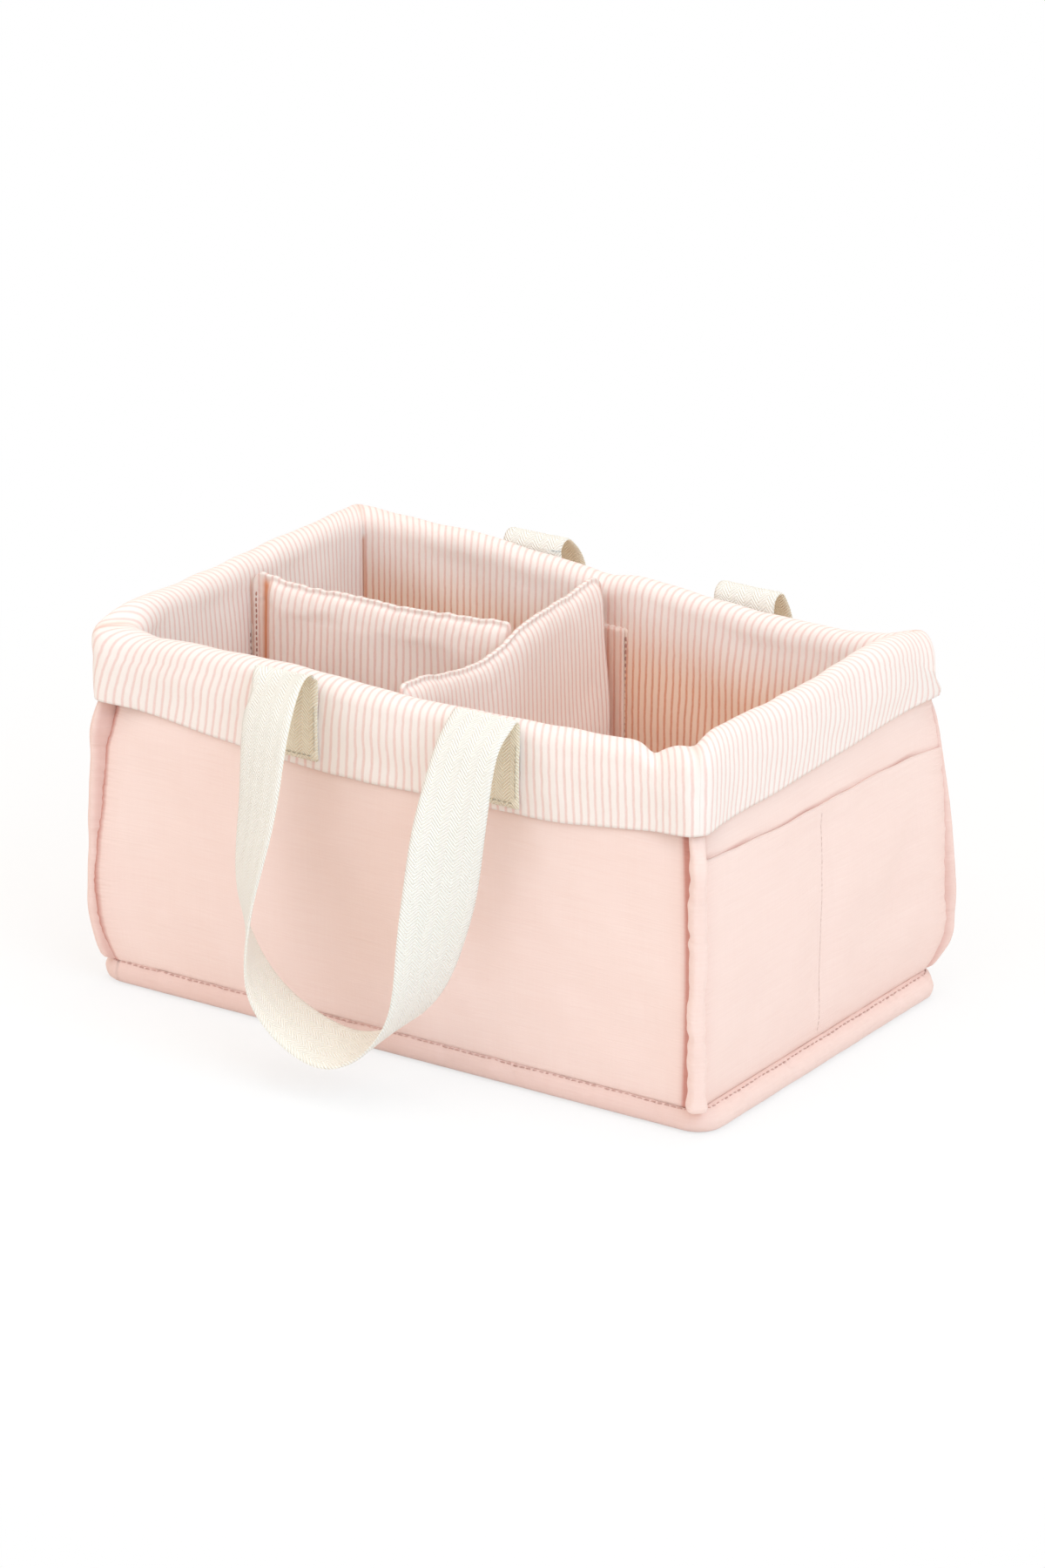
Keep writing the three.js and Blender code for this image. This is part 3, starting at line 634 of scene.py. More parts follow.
def lining_grid(side):
    """Points of the lining from the floor up the inside, over the rim and down to the cuff's hem, with the
    shares of painted shade deeper inside and along the corner mitres.
    """
    half = HALF[side]
    t = graded(110 if half > LONG_WALL else 76)[:, None]
    run = t * half
    gap = seam_gap(side, t)
    free = smooth(gap / 20.0)
    held = 0 * run if TAPE_AT[side] is None else bell(run - TAPE_AT[side], 18.0)
    drop_at = ROLL_DROP + by_end(side, t, "drop") * bell(gap, 24.0)
    top = CREST[side](run) - drop_at

    def hills(across, length, order):
        return waves(run, across, length, SEED[side] + order)

    inside = np.linspace(0, 1, 46)[None, :-1]
    z_in = FLOOR_TOP + inside * (top - FLOOR_TOP)
    soft = np.sin(math.pi * inside ** 1.4) ** 0.8
    n_in = LINING_INNER - 2.4 * soft * smooth(gap / 45.0) * (1 - held)
    n_in = n_in + 0.5 * free * (1 - held) * hills(z_in, 55.0, 3)

    n_top = LINING_INNER - 0.3 * free
    flare = by_end(side, t, "flare") * bell(gap, 20.0)
    n_out = 2.6 + by_end(side, t, "shoulder") * flare + 0.6 * free * hills(0 * run, 50.0, 4)
    angle = np.linspace(math.pi, 0, 19)[None, :-1]
    n_roll = (n_out + n_top) / 2 + (n_out - n_top) / 2 * squared(np.cos(angle), 0.9)
    z_roll = top + drop_at * np.sin(angle) ** 0.92
    z_roll = z_roll - by_end(side, t, "dimple") * bell(gap, 8.0) * np.sin(angle) ** 2
    z_roll = z_roll + 0.35 * free * hills(angle * 6, 30.0, 5) * np.sin(angle)

    down = np.linspace(0, 1, CUFF_ROWS)[None, :]
    hem = HEM[side](run) + 0.25 * free * hills(0 * run, 40.0, 6)
    z_out = top + down * (hem - top)
    rest = cover_out(side, t, z_out) + 2.1
    drop = smooth(down)
    n_cuff = n_out * (1 - drop) + (np.maximum(rest, 0.9) + 0.9 * flare) * drop
    n_cuff = n_cuff + 1.5 * np.sin(math.pi * down) ** 0.8 * (0.35 + 0.65 * free)
    n_cuff = n_cuff + 0.5 * free * np.sin(math.pi * down) * hills(z_out, 34.0, 7)
    n_cuff = n_cuff - 0.9 * bell(gap, 5.0) * smooth(down * 3)

    def joined(within, over, outside):
        return np.concatenate([within, over, outside], 1)

    z = joined(z_in, z_roll, z_out)
    shoulder = by_end(side, t, "round")
    below = shoulder + (CORNER_ROUND - shoulder) * drop
    turn = joined(0 * t * inside, smooth(1 - angle / math.pi) * shoulder, below)
    a, n = rounded_corner(half, t, joined(n_in, n_roll, n_cuff), turn)
    # Painted shade that deepens down the inside of the lining, and along its inner corner mitres
    deep = ramp(top - z, 0, 45.0) * joined(1 + 0 * inside, 0 * angle, 0 * down) * DEPTH_SHADE[side]
    mitre = joined(smooth(inside * 3), np.sin(angle) * 0.5, 0 * down)
    return place(side, a, n, z), t, gap + 0 * z, deep, MITRE_SHADE * bell(gap, 1.6) * mitre


def wall_lining(side):
    """The striped lining of a wall with its rim and cuff, whose grid of points it returns."""
    half = HALF[side]
    grid, t, gap, deep, crease = lining_grid(side)
    pins = gap < 3
    pins[:, [0, -1]] = True
    grid = settled(grid, pins, pressure=0.5, slack=0.004, cap=1.2, out=-1)
    path = running(grid[len(t) // 2])
    lean = (CUFF_SLANT(t * half) if side == "front" else 0 * t) * np.maximum(path - (path[-1] - 60.0), 0)
    across = running(grid[:, -1 - CUFF_ROWS // 2])[:, None]
    across = (across - across[-1] / 2) * LINING_PACE
    back = grid + normals_of(grid) * CLOTH
    piece = slab_piece(f"{side}_lining_cloth", grid, back, spread(across + lean, path), STRIPED, out=-1,
                       deep=deep, crease=crease)
    finished(piece, "striped_cloth", "shell", f"{side}_lining")
    return grid


# Base

BASE_HALF = (197.0, 120.0)
BASE_ROUND = 17.0
BASE_POINTS = 560
# Inset and height of the edge from below, and share of the lip's width and height over it
BASE_UNDER = ((-60.0, 0.0), (-14.0, 0.0), (-6.0, 0.05), (-3.0, 0.7), (-1.2, 2.1), (-0.3, 4.2), (0.0, 6.2))
BASE_UPPER = ((0.05, 8.0), (0.14, 9.6), (0.27, 10.9), (0.42, 11.8), (0.58, 12.5), (0.72, 12.9), (0.86, 13.2),
              (0.95, 13.3), (1.0, 13.1))
BASE_TOP = 11.85
FLOOR_HALF = (172.4, 102.4)


def rounded_rectangle(half_x, half_y, radius, count):
    """Points round a rectangle with round corners, evenly spaced, with the outward normal at each."""
    inner = np.array([half_x - radius, half_y - radius])
    sides = np.tile(2 * inner, 2)
    ends = np.cumsum(sides + math.pi * radius / 2)
    s = np.linspace(0, ends[-1], count, endpoint=False)
    k = np.searchsorted(ends, s, "right")
    past = s - np.append(0, ends)[k] - sides[k]
    angle = np.maximum(past, 0) / radius + (k - 1) * math.pi / 2
    normals = np.stack([np.cos(angle), np.sin(angle)], 1)
    corner = np.array([(1, -1), (1, 1), (-1, 1), (-1, -1)])[k] * inner
    ahead = np.array([(1, 0), (0, 1), (-1, 0), (0, -1)])[k]
    return corner + ahead * np.minimum(past, 0)[:, None] + normals * radius, normals, s


def base_piece():
    """The padded base: flat underneath, with a full soft edge and a sewn groove at the foot of the walls."""
    outline, normal, s = rounded_rectangle(*BASE_HALF, BASE_ROUND, BASE_POINTS)
    lip = 3.3 + 6.0 * normal[:, 0] ** 2
    turn = TURN * s / (s[1] * BASE_POINTS)
    across = 190.0 * np.cos(turn)
    along = 190.0 * np.sin(turn)
    uneven = 0.5 * waves(across, along, 24.0, 71) + 0.35 * waves(across, along, 9.0, 72)
    pinch = waves(across, along, 4.6, 73)
    stations = [(inset + 0 * s, height, 0.0) for inset, height in BASE_UNDER]
    stations += [(-share * lip, height, share) for share, height in BASE_UPPER]
    stations += [(-lip - inset, BASE_TOP, 0.0) for inset in (0.6, 5.0, 12.0)]
    inset, height, share = (np.array(column) for column in zip(*stations))
    height, share = height[:, None], share[:, None]
    on_lip = share > 0
    out = inset + bell(height - 7.0, 4.5) * (0.8 * uneven + 0.2 * pinch)
    top = on_lip * bell(share - 0.5, 0.33)
    up = height + top * (0.45 * uneven + 0.4 * pinch * (0.4 + share))
    rings = np.concatenate([outline + normal * out[..., None], np.maximum(up, 0)[..., None]], -1)
    run = np.append(0, np.cumsum(np.linalg.norm(np.diff(rings, axis=0), axis=2).mean(1)))
    # Painted shade: darker near the groove at the wall foot, which also puckers, and a faint overall painted
    # shade, stronger along the front and back
    piece = loft_piece("base_cloth", rings, spread(s, run[:, None]), PINK,
                       seam=on_lip * bell(share - 0.9, 0.4) + 0 * out,
                       crease=0.2 - 0.12 * normal[:, 0] ** 2 + 0 * out)
    finished(piece, "outer_cloth", "shell", "base_cover", "base_pad")
    groove = np.column_stack([outline - normal * (lip * 0.66)[:, None], 12.8 + 0.3 * uneven])
    row = (np.append(groove, groove[:1], 0), (0, 0, 1))
    stitches("base_stitches", [row], (3.0, 0.4), "shell", CORAL_THREAD)


def floor_lining():
    half_x, half_y = FLOOR_HALF
    x = np.linspace(-half_x, half_x, 100)[:, None]
    y = np.linspace(-half_y, half_y, 60)[None, :]
    rim = smooth((half_x - np.abs(x)) / 25.0) * smooth((half_y - np.abs(y)) / 25.0)
    z = FLOOR_TOP - 0.1 + rim * (0.12 * waves(x, y, 60.0, 81) - 0.1)
    face = spread(x, y, z)
    back = face - [0, 0, CLOTH * 0.8]
    # The floor lining gets half the painted depth shade
    piece = slab_piece("base_lining_cloth", face, back, spread(x, y), STRIPED, deep=0.5 + 0 * z)
    finished(piece, "striped_cloth", "shell", "base_lining")


# Corner seams

# Each flange: its way out in plan, half thickness, sway, seed, painted shade, and how far it stands out at
# each height
FLANGES = {
    "front_right": dict(
        turn=(1, -1), thick=4.3, fold=0.6, seed=91, shade=0.05,
        reach=through((12, 17.5), (22, 16.5), (60, 16), (120, 15.5), (150, 14.5), (160, 9), (168, 6))),
    "front_left": dict(
        turn=(-1, -1), thick=2.8, fold=0.4, seed=92, shade=0.45,
        reach=through(
            (12, 11), (22, 14.7), (30, 17), (90, 17.2), (130, 16), (150, 14.3), (160, 11), (168, 7))),
    "back_right": dict(
        turn=(1, 1), thick=2.8, fold=1.6, seed=93, shade=0.45,
        reach=through(
            (12, 9), (19.5, 14), (27, 19.5), (47, 22.5), (70, 21.5), (95, 19), (120, 16), (140, 12.5),
            (160, 8), (168, 5))),
    "back_left": dict(
        turn=(-1, 1), thick=2.8, fold=1.0, seed=94, shade=0.2,
        reach=through((12, 12), (30, 17.5), (90, 17.5), (150, 15), (160, 10), (168, 6))),
}
FLANGE_ROOT = (181.8, 111.8)
FLANGE_SQUARE = 0.55


def corner_flange(name, turn, thick, fold, seed, shade, reach):
    """The sewn flange of an upright corner: a soft flat rib that spreads at the foot and sways above."""
    z = np.concatenate([[13.5, 13.9, 15.0], np.linspace(17, 167, 120)])
    phi = np.linspace(0, TURN, 32, endpoint=False)[None, :]

    def hills(length, order):
        return waves(z, 0 * z, length, seed + order)

    close = rounding((z - 12.5) / 4.0)
    length = (reach(z) + 0.35 * hills(34.0, 0)) * close
    half = (thick + 1.2 * bell(z - 13, 11.0) + 0.3 * hills(15.0, 1) + 0.22 * hills(6.0, 2)) * close
    sway = fold * hills(62.0, 3) * (ramp(z, 18, 30) * smooth((160 - z) / 25))
    share = 0.5 - 0.5 * squared(np.cos(phi), FLANGE_SQUARE)
    p = length[:, None] * share
    neck = 0.45 + 0.55 * smooth(share / 0.5)
    q = half[:, None] * squared(np.sin(phi), FLANGE_SQUARE) * neck + sway[:, None] * share
    out = np.array(turn, float) / math.sqrt(2)
    beside = np.array([-out[1], out[0]])
    xy = np.array(FLANGE_ROOT) * turn + p[..., None] * out + q[..., None] * beside
    rings = np.concatenate([xy, np.broadcast_to(z[:, None, None], p.shape + (1,))], -1)
    # Painted shade over the flange, lighter towards its outer edge, with the pink cloth's seam darkening over
    # all of it
    crease = shade * (1 - 0.7 * ramp(share, 0.7, 0.25)) + 0 * p
    piece = loft_piece(f"{name}_corner_welt", rings, spread(phi * thick, z[:, None]), PINK, seam=0.35 + 0 * p,
                       crease=crease)
    finished(piece, "outer_cloth", "shell", f"{name}_corner_seam")


# End pockets


def pocket(side):
    """A patch pocket over the whole end, sewn down the middle, with a turned hem along its mouth."""
    half = HALF[side]
    t = graded(84, 1.5)[:, None]
    low = WALL_BOTTOM + 0.1
    mouth = mouth_height(side, t)
    share = crowded(9)
    z = low + share * (mouth - low)
    gap = seam_gap(side, t)
    middle = np.abs(t) * half
    slack = smooth(gap / 30.0) * smooth(middle / 26.0) * (0.25 + 0.75 * share) * smooth(share / 0.25)
    near_mouth = ramp(share, 0.55, 0.45)
    n = cover_out(side, t, z) + 1.25 + slack * (4.2 - 3.8 * near_mouth) - 0.1 * bell(middle, 2.2)
    sag = waves(t * half, z, 60.0, SEED[side] + 9) * slack * (1 - near_mouth)
    n = n + 0.35 * smooth(gap / 18.0) * sag - 0.3 * bell((mouth - z) - 12.0, 1.6)
    face = place(side, t * (half + n - 0.6), n, z)
    pins = (gap < 4) | (share < 0.03) | (share > 0.99) | (middle < 2)
    face = settled(face, pins, pressure=0.4, slack=0.004, cap=1.3)
    thick = 0.8 + 0.5 * ramp(share, 0.9, 0.02)
    back = face - normals_of(face) * (thick + 0 * t)[..., None]
    # Painted shade beside the corner seams and faintly along the middle seam; the same mask also sets the
    # puckers
    seam = np.maximum(bell(gap, 10.0), 0.05 * bell(middle, 3.0)) + 0 * z
    piece = slab_piece(f"{side}_pocket_cloth", face, back, spread(t * half, z), PINK, seam=seam)
    finished(piece, "outer_cloth", "shell", POCKETS[side])
    line = face[len(face) // 2 - 1:len(face) // 2 + 1].mean(0)[2:-1]
    out = place(side, 0.0, 1.0, 0.0) - place(side, 0.0, 0.0, 0.0)
    stitches(f"{POCKETS[side]}_stitches", [(line + out * 0.1, out)], (2.4, 0.09), "shell", PALE_THREAD)


# Handles

WEB_WIDTH = 38.0
WEB_THICK = 1.7
WEB_HALF = WEB_WIDTH / 2
WEB_POINTS = 21
TAB_POINTS = 18
FOLD = {"front": 2.8, "back": 6.4}

# The hanging loop over its share of length: run along the wall, stand-off, height and roll in degrees
BACK_PLACES = (0, 0.06, 0.12, 0.2, 0.3, 0.4, 0.5, 0.6, 0.7, 0.8, 0.88, 0.94, 1)
LOOP = {
    "front": (
        tenths(-63, -58, -54, -57, -41, 5, 44, 58, 63, 63, 63),
        tenths(8, 30, 45, 53, 56, 55, 50, 46, 40, 25, 8),
        tenths(201, 184, 143, 90, 44, 23, 51, 105, 154, 189, 202),
        tenths(180, 168, 155, 136, 98, 77, 95, 132, 163, 181, 180)),
    "back": (
        tenths(-72, -71, -67, -60, -43, 0, 42, 58, 63, 65.5, 66),
        through(*zip(BACK_PLACES, (12, 24, 31, 37, 42, 45, 46, 45, 42, 36, 29, 21, 12))),
        through(*zip(BACK_PLACES, (206, 193, 171, 134, 90, 48, 25, 46, 88, 131, 167, 188, 201))),
        tenths(180, 178, 172, 155, 115, 85, 115, 155, 172, 178, 180)),
}
# Foot and head of each tab along the wall, and the height at which its strip starts to fold
TABS = {"front": {-1: (-63.0, -63.0, 200.5), 1: (63.0, 63.0, 202.0)},
        "back": {-1: (-66.0, -72.0, 202.0), 1: (64.0, 66.0, 197.0)}}
TAB_FOOT = 157.0


def handle_line(side, cuff_at):
    """Middle line and width direction of one webbing strip: tab, fold, hanging loop, fold and tab."""
    fold = FOLD[side]
    curves = LOOP[side]
    ends = {}
    for hand in (-1, 1):
        foot, head, rise = TABS[side][hand]
        share = np.linspace(0, 1, TAB_POINTS)
        height = share * rise + (1 - share) * TAB_FOOT
        stand = np.array([cuff_at(foot, z) for z in height]) + WEB_THICK / 2 + 0.35
        tab = np.column_stack([foot + (head - foot) * share, stand, height])
        angle = np.linspace(math.pi, math.radians(50.0), 16)[1:]
        bend = spread(head, stand[-1] + fold + fold * np.cos(angle), rise + fold * np.sin(angle))
        ends[hand] = np.concatenate([tab, bend])
    u = np.linspace(0, 1, 181)[1:-1]
    loop = np.stack([curve(u) for curve in curves[:3]], 1)
    for hand, near in ((-1, 1 - u), (1, u)):
        pull = ramp(near, 0.8, 0.2)[:, None]
        loop = loop + pull * (ends[hand][-1] - [float(curve((hand + 1) / 2)) for curve in curves[:3]])
    loop = even_out(loop, 10, 1)
    along = unit(np.gradient(loop, axis=0))
    front = unit(np.array([0.0, 1.0, 0.0]) - along * along[:, 1:2])
    roll = np.radians(curves[3](u))[:, None]
    width = np.sin(roll) * front - np.cos(roll) * np.cross(along, front)
    flat = np.tile([1.0, 0, 0], (len(ends[1]), 1))
    centre = np.concatenate([ends[-1], loop, ends[1][::-1]])
    return even_out(centre, 2, 20), even_out(np.concatenate([flat, width, -flat]), 12, 20)


def ribbon(name, centre, width, inner_side):
    """A flat strip of webbing with round edges along a line, with its running length as cloth length."""
    along = unit(np.gradient(centre, axis=0))
    width = unit(width - (width * along).sum(1, keepdims=True) * along)
    normal = np.cross(along, width)
    across = np.linspace(-1, 1, WEB_POINTS)
    across = np.concatenate([across, across[::-1]])
    level = np.repeat([1.0, -1.0], WEB_POINTS)
    edge = np.sqrt(np.clip((1 - np.abs(across)) * WEB_HALF / 0.9, 0.05, 1))
    stand = level * edge * WEB_THICK / 2 + 0.25 * (1 - across ** 2)
    across = across * WEB_HALF
    rings = centre[:, None] + width[:, None] * across[:, None] + normal[:, None] * stand[:, None]
    # The inner face of the strip gets painted shade: warmer cream all along, and tan painted shade above
    # about 110 mm, where the folds are
    inner = np.broadcast_to(np.clip(level * inner_side, 0, 1), rings.shape[:2])
    tan = inner * ramp(centre[:, 2:], 110.0, 50.0)
    return loft_piece(name, rings, spread(across, running(centre)[:, None]), WEBBING, inner=inner, tan=tan)


def handle(side, lining):
    """One strip of webbing, sewn down to the shell at both ends, that folds over the rim into the hanging
    handle loop.
    """
    sign = 1.0 if side == "back" else -1.0
    cuff = lining[:, -CUFF_ROWS:]

    def cuff_at(middle, z):
        columns = cuff[np.abs(cuff[:, CUFF_ROWS // 2, 0] - middle) < WEB_HALF]
        return max(np.interp(-z, -column[:, 2], sign * column[:, 1] - HALF_DEPTH) for column in columns)

    centre, width = handle_line(side, cuff_at)
    flip = [1.0, sign, 1.0]
    centre = (centre + [0, HALF_DEPTH, 0]) * flip
    piece = ribbon(f"{side}_handle_strip", centre, width * flip, sign)
    finished(piece, "webbing", None, f"{side}_handle_webbing", f"{side}_left_handle_tab",
             f"{side}_right_handle_tab")
    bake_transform(piece)
    out = np.array([0.0, sign, 0.0])
    rows = []
    for tab in (centre[:17], centre[-17:][::-1]):
        face = tab + out * (WEB_THICK / 2 + 0.12)
        rows += [(face[2:14] + [edge * (WEB_HALF - 1.6), 0, 0], out) for edge in (-1, 1)]
        rows.append((np.linspace(-1, 1, 12)[:, None] * [WEB_HALF - 2.0, 0, 0] + face[1], out))
    stitches(f"{side}_tab_stitches", rows, (2.4, 0.42), "shell", TAN_THREAD)


# Dividers

DIVIDER_FULL = 6.3
# Each divider: length, start and heading in plan, seed, the nodes it replaces, top edge, how the top leans,
# from which height over which rise, radius and flat flap of both ends, and how far the head reaches on
DIVIDERS = {
    "cross_divider": dict(
        length=199.0, start=(-8.0, -99.5), heading=(0, 1), seed=101,
        parts=("pad", "left_cover", "right_cover"),
        top=through(
            (0, 201), (14, 199.8), (36, 195.5), (52, 192.8), (68, 191.2), (82, 191.2), (92, 192.6),
            (101, 195.6), (112, 199.2), (130, 201.2), (150, 201.6), (166, 202), (182, 203.5), (199, 203.5)),
        lean=through((0, -1.5), (60, -0.5), (100, 0), (128, 1), (150, 3), (170, 4.5), (199, 5)),
        rise=(120, 80), ends=(5.0, 9.0), flaps=(0.0, 1.5), stretch=0.0),
    "long_divider": dict(
        length=152.2, start=(-169.5, 4.0), heading=(1, 0), seed=111,
        parts=("pad", "front_cover", "back_cover"),
        top=through((0, 206), (8, 205.5), (22, 203), (60, 200.5), (100, 199), (130, 199), (152, 200)),
        lean=through((0, -9), (76, 1), (120, 7), (152, 13)),
        rise=(20, 130), ends=(8.0, 4.0), flaps=(9.0, 0.0), stretch=0.9),
}


def divider(name, length, start, heading, seed, parts, top, lean, rise, ends, flaps, stretch):
    """A stuffed panel with a puckered seam along its top edge and round upper corners."""
    s = (graded(72, 1.6)[:, None] + 1) / 2
    v = crowded(25)
    run = s * length
    gap = np.minimum(run, length - run)
    low = FLOOR_TOP + 0.35
    radius = np.where(run < length / 2, *ends)
    flap = np.where(run < length / 2, *flaps)
    high = top(run) - radius * (1 - rounding(gap / radius)) + 0.45 * waves(run, 0 * run, 8.0, seed)
    z = low + v * (high - low)
    below = high - z
    ridge = 1.2 + 0.15 * waves(run, z, 6.0, seed + 1)
    full = DIVIDER_FULL * rounding((below - 2.2) / 13.0) * rounding((gap - flap) / 9.0)
    full = full * (0.55 + 0.45 * rounding((z - low) / 20.0))
    crimp = 0.35 * np.exp(-np.maximum(below - 3, 0) / 7.0) * waves(run, 0 * z, 6.5, seed + 2)
    half = np.maximum(full + crimp * rounding((below - 2.2) / 4.0), ridge)
    drift = lean(run) * ramp(z, *rise) + 0.6 * waves(run, z, 80.0, seed + 3) * smooth(gap / 30)
    ahead_by = run + stretch * ramp(s, 0.8, 0.2) * ramp(z, 178, 10)
    ahead = np.array(heading, float)
    aside = np.array([-ahead[1], ahead[0]])
    pins = (gap < 2) | (below < 4) | (v < 0.01)
    faces = []
    for sign in (1, -1):
        xy = np.array(start) + ahead_by[..., None] * ahead + (drift + sign * half)[..., None] * aside
        grid = np.concatenate([xy, z[..., None]], -1)
        faces.append(settled(grid, pins, pressure=0.5, slack=0.006, cap=1.6, out=-sign))
    left, right = faces
    # Painted shade: peach deeper down the panel, and orange in the groove beside a flat end flap
    crease = np.where(flap > 0, bell(gap - flap, 2.5), 0) * smooth(below / 6.0)
    piece = slab_piece(f"{name}_pillow", right, left, spread(run, z), STRIPED,
                       deep=0.08 + 0.3 * smooth(below / 60.0), crease=crease)
    finished(piece, "striped_cloth", name, *(f"{name}_{part}" for part in parts))
    return right


# Each body's tapes, with the axis across which they are thin
TAPES = {
    "shell": {"front_wall_loop": 1, "back_wall_loop": 1, "left_wall_loop": 0},
    "cross_divider": {"front_hook": 1, "back_hook": 1, "loop": 0},
    "long_divider": {"left_hook": 0, "right_hook": 0},
}
# Orange painted shade on each kind of tape
TAPE_SHADE = {"loop": 0.1, "hook": 0.15}


def tape(body, name, thin_axis):
    """A strip of fastening tape in the place of its solid. On a wall it shows its stitches."""
    on_wall = body == "shell"
    node = f"{name}_tape" if on_wall else f"{body}_{name}_tape"
    kind = name.split("_")[-1]
    low, high = (np.array(corner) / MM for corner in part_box(node))
    middle, size = (low + high) / 2, high - low
    wide_axis = 1 - thin_axis
    wide, tall = size[wide_axis] / 2, size[2] / 2
    a = np.linspace(-1, 1, 15)[:, None]
    b = np.linspace(-1, 1, 61)[None, :]
    edge = rounding((1 - np.abs(a)) * wide / 1.2) * rounding((1 - np.abs(b)) * tall / 1.2)
    thick = size[thin_axis] / 2 * (0.35 + 0.65 * edge)
    grids = np.zeros((2,) + thick.shape + (3,))
    grids[..., wide_axis] = middle[wide_axis] + a * wide
    grids[..., 2] = middle[2] + b * tall
    grids[..., thin_axis] = middle[thin_axis] + np.stack([thick, -thick])
    # Painted shade deeper down, stronger on the walls
    deep = (1.0 if on_wall else 0.6) * smooth((195.0 - grids[0][..., 2]) / 45.0)
    piece = slab_piece(f"{node}_strip", *grids, spread(a * wide, b * tall), TAPE[kind], out=1 - 2 * thin_axis,
                       crease=TAPE_SHADE[kind] + 0 * thick, deep=deep)
    finished(piece, f"{kind}_tape", body, node)
    if not on_wall:
        return
    facing = -np.sign(middle) * (np.arange(3) == thin_axis)
    rows = []
    for share in (0.07, 0.93):
        line = np.tile(low + size * share, (40, 1))
        line[:, thin_axis] = (middle + facing * (size / 2 + 0.1))[thin_axis]
        line[:, 2] = np.linspace(low[2] + 2, high[2] - 2, 40)
        rows.append((line, facing))
    stitches(node.replace("loop_tape", "tape_stitches"), rows, (2.8, 0.45), body, THREAD)


# Stitching

STITCH_PACE = 1.35
STITCH_AROUND = 6
# Place along a stitch and share of its girth there
STITCH_SHAPE = ((-0.5, 0.35), (-0.36, 0.9), (0.0, 1.1), (0.36, 0.9), (0.5, 0.35))


def stitches(name, rows, size, body, material):
    """Short round stitches of a length and girth along rows of (points, normal), all in one piece."""
    length, girth = size
    pace = length * STITCH_PACE
    share, thick = np.repeat(STITCH_SHAPE, STITCH_AROUND, 0).T
    angle = np.tile(np.linspace(0, TURN, STITCH_AROUND, endpoint=False), len(STITCH_SHAPE))
    up_by = np.cos(angle) * thick + 0.25 - 1.1 * (2 * share) ** 4
    shape = np.stack([share * length, up_by * girth, np.sin(angle) * thick * girth], 1)
    points = []
    for line, normal in rows:
        run = running(line)
        for k in range(int(run[-1] // pace)):
            span = (k + 0.15) * pace + np.array([0, length])
            if span[1] > run[-1]:
                break
            ends = np.stack([np.interp(span, run, line[:, c]) for c in range(3)], 1)
            ahead = unit(ends[1] - ends[0])
            up = unit(normal - np.dot(normal, ahead) * ahead)
            points.append(ends.mean(0) + shape @ [ahead, up, np.cross(ahead, up)])
    k = np.arange(len(shape)).reshape(-1, STITCH_AROUND)
    n = np.roll(k, -1, 1)
    sides = np.stack([k[:-1], k[1:], n[1:], n[:-1]], -1).reshape(-1, 4)
    one = [*sides, k[0], k[-1, ::-1]]
    faces = [(face + start * len(shape)).tolist() for start in range(len(points)) for face in one]
    uv = np.tile(np.stack([share * length, angle * girth], 1), (len(points), 1))
    piece = make_piece(name, np.concatenate(points), faces, uv, material)
    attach(piece, body)


# Camera, floor and light, in metres

AZIMUTH = math.radians(33.76)
ELEVATION = math.radians(20.52)
CAMERA_AIM = Vector((0.00276, 0.0, 0.11658))
CAMERA_DISTANCE = 3.38157
LENS = 145.34
FLOOR_REACH = 30.0
FLOOR_LEVEL = -0.0003
WHITE = (1, 1, 1, 1)
SKY = (1.0, 0.85, 0.71, 1)
SKY_STRENGTH = 0.73
LAMP_AIM = Vector((0, 0, 0.1))
# Each lamp: place, size, power and tint
LAMPS = {"key": ((-0.9, -2.3, 2.1), 3.2, 25.0, (0.86, 1.0, 1.11)),
         "fill": ((2.3, -0.9, 2.1), 2.0, 33.0, (0.66, 1.03, 1.3)),
         "top": ((0.2, 0.2, 2.8), 2.2, 25.0, (0.94, 0.97, 0.98))}


def add_camera():
    """The camera at the photograph's viewing angle."""
    right = Vector((math.cos(AZIMUTH), math.sin(AZIMUTH), 0.0))
    level = math.cos(ELEVATION)
    back = Vector((math.sin(AZIMUTH) * level, -math.cos(AZIMUTH) * level, math.sin(ELEVATION)))
    eye = CAMERA_AIM + back * CAMERA_DISTANCE
    camera = add_object("camera", bpy.data.cameras.new("camera"))
    camera.data.lens = LENS
    camera.data.clip_end = 100.0
    turned = Matrix((right, back.cross(right), back)).transposed().to_4x4()
    camera.matrix_world = Matrix.Translation(eye) @ turned
    bpy.context.scene.camera = camera


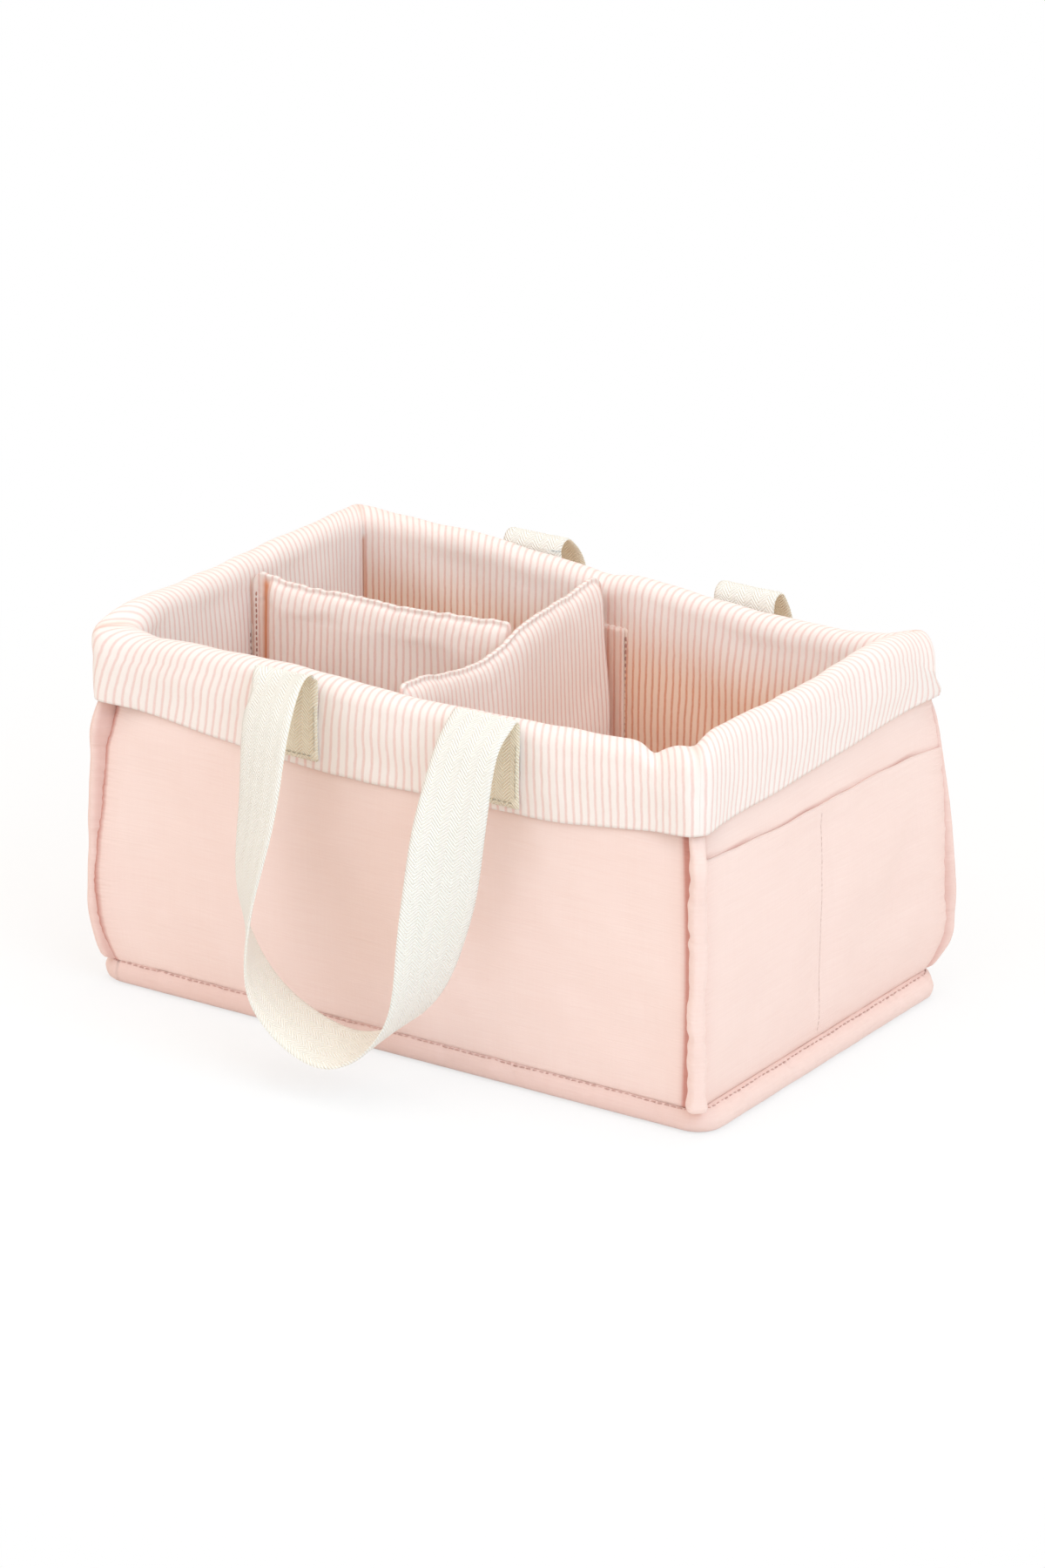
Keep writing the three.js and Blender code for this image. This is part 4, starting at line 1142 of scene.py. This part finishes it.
def studio():
    """Camera, a white floor that keeps the shadow near the caddy, a white world and three soft lamps."""
    scene = bpy.context.scene
    scene.view_settings.view_transform = "Standard"
    add_camera()

    ground = Graph(bpy.data.materials.new("white_floor"))
    lit = ground.node("ShaderNodeBsdfDiffuse", Color=(0.9, 0.9, 0.9, 1))
    glow = ground.node("ShaderNodeEmission", Color=WHITE)
    spot = ground.node("ShaderNodeVectorMath", Vector=ground.node("ShaderNodeTexCoord").outputs["Object"])
    spot.operation = "LENGTH"
    away = ground.math("DIVIDE", ground.math("SUBTRACT", spot.outputs["Value"], 0.2), 0.5, clamp=True)
    seen = ground.node("ShaderNodeLightPath").outputs["Is Camera Ray"]
    share = ground.times(ground.scaled(away, 0.3, 0.7), seen)
    ground.show(ground.either(share, lit, glow))
    mesh = bpy.data.meshes.new("floor")
    corners = np.array([(-1, -1, 0), (1, -1, 0), (1, 1, 0), (-1, 1, 0)]) * FLOOR_REACH
    mesh.from_pydata((corners + [0, 0, FLOOR_LEVEL]).tolist(), [], [(0, 1, 2, 3)])
    mesh.materials.append(ground.owner)
    add_object("floor", mesh)

    scene.world = bpy.data.worlds.new("studio")
    world = Graph(scene.world)
    sky = world.node("ShaderNodeBackground", Color=SKY, Strength=SKY_STRENGTH)
    white = world.node("ShaderNodeBackground", Color=WHITE)
    seen = world.node("ShaderNodeLightPath").outputs["Is Camera Ray"]
    world.show(world.either(seen, sky, white), "ShaderNodeOutputWorld")

    for name, (spot, size, power, tint) in LAMPS.items():
        lamp = bpy.data.lights.new(name, "AREA")
        lamp.size = size
        lamp.energy = power
        lamp.color = tint
        holder = add_object(name, lamp)
        holder.location = spot
        holder.rotation_euler = (LAMP_AIM - Vector(spot)).to_track_quat("-Z", "Y").to_euler()


def build():
    studio()
    base_piece()
    floor_lining()
    linings = {}
    for side in AHEAD:
        wall_cover(side)
        linings[side] = wall_lining(side)
    for name, facts in FLANGES.items():
        corner_flange(name, **facts)
    for side in POCKETS:
        pocket(side)
    for side in ("front", "back"):
        handle(side, linings[side])
    facing_front = [divider(name, **facts) for name, facts in DIVIDERS.items()][-1]
    row = facing_front[4, 6:66] + [0.0, -0.1, 0.0]
    stitches("long_divider_stitches", [(row, (0, -1, 0))], (2.4, 0.4), "long_divider", THREAD)
    for body, strips in TAPES.items():
        for name, thin_axis in strips.items():
            tape(body, name, thin_axis)
    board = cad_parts["base_board"]
    material = board_sheet()
    for slot in board.material_slots:
        slot.material = material
    if not board.material_slots:
        board.data.materials.append(material)


build()
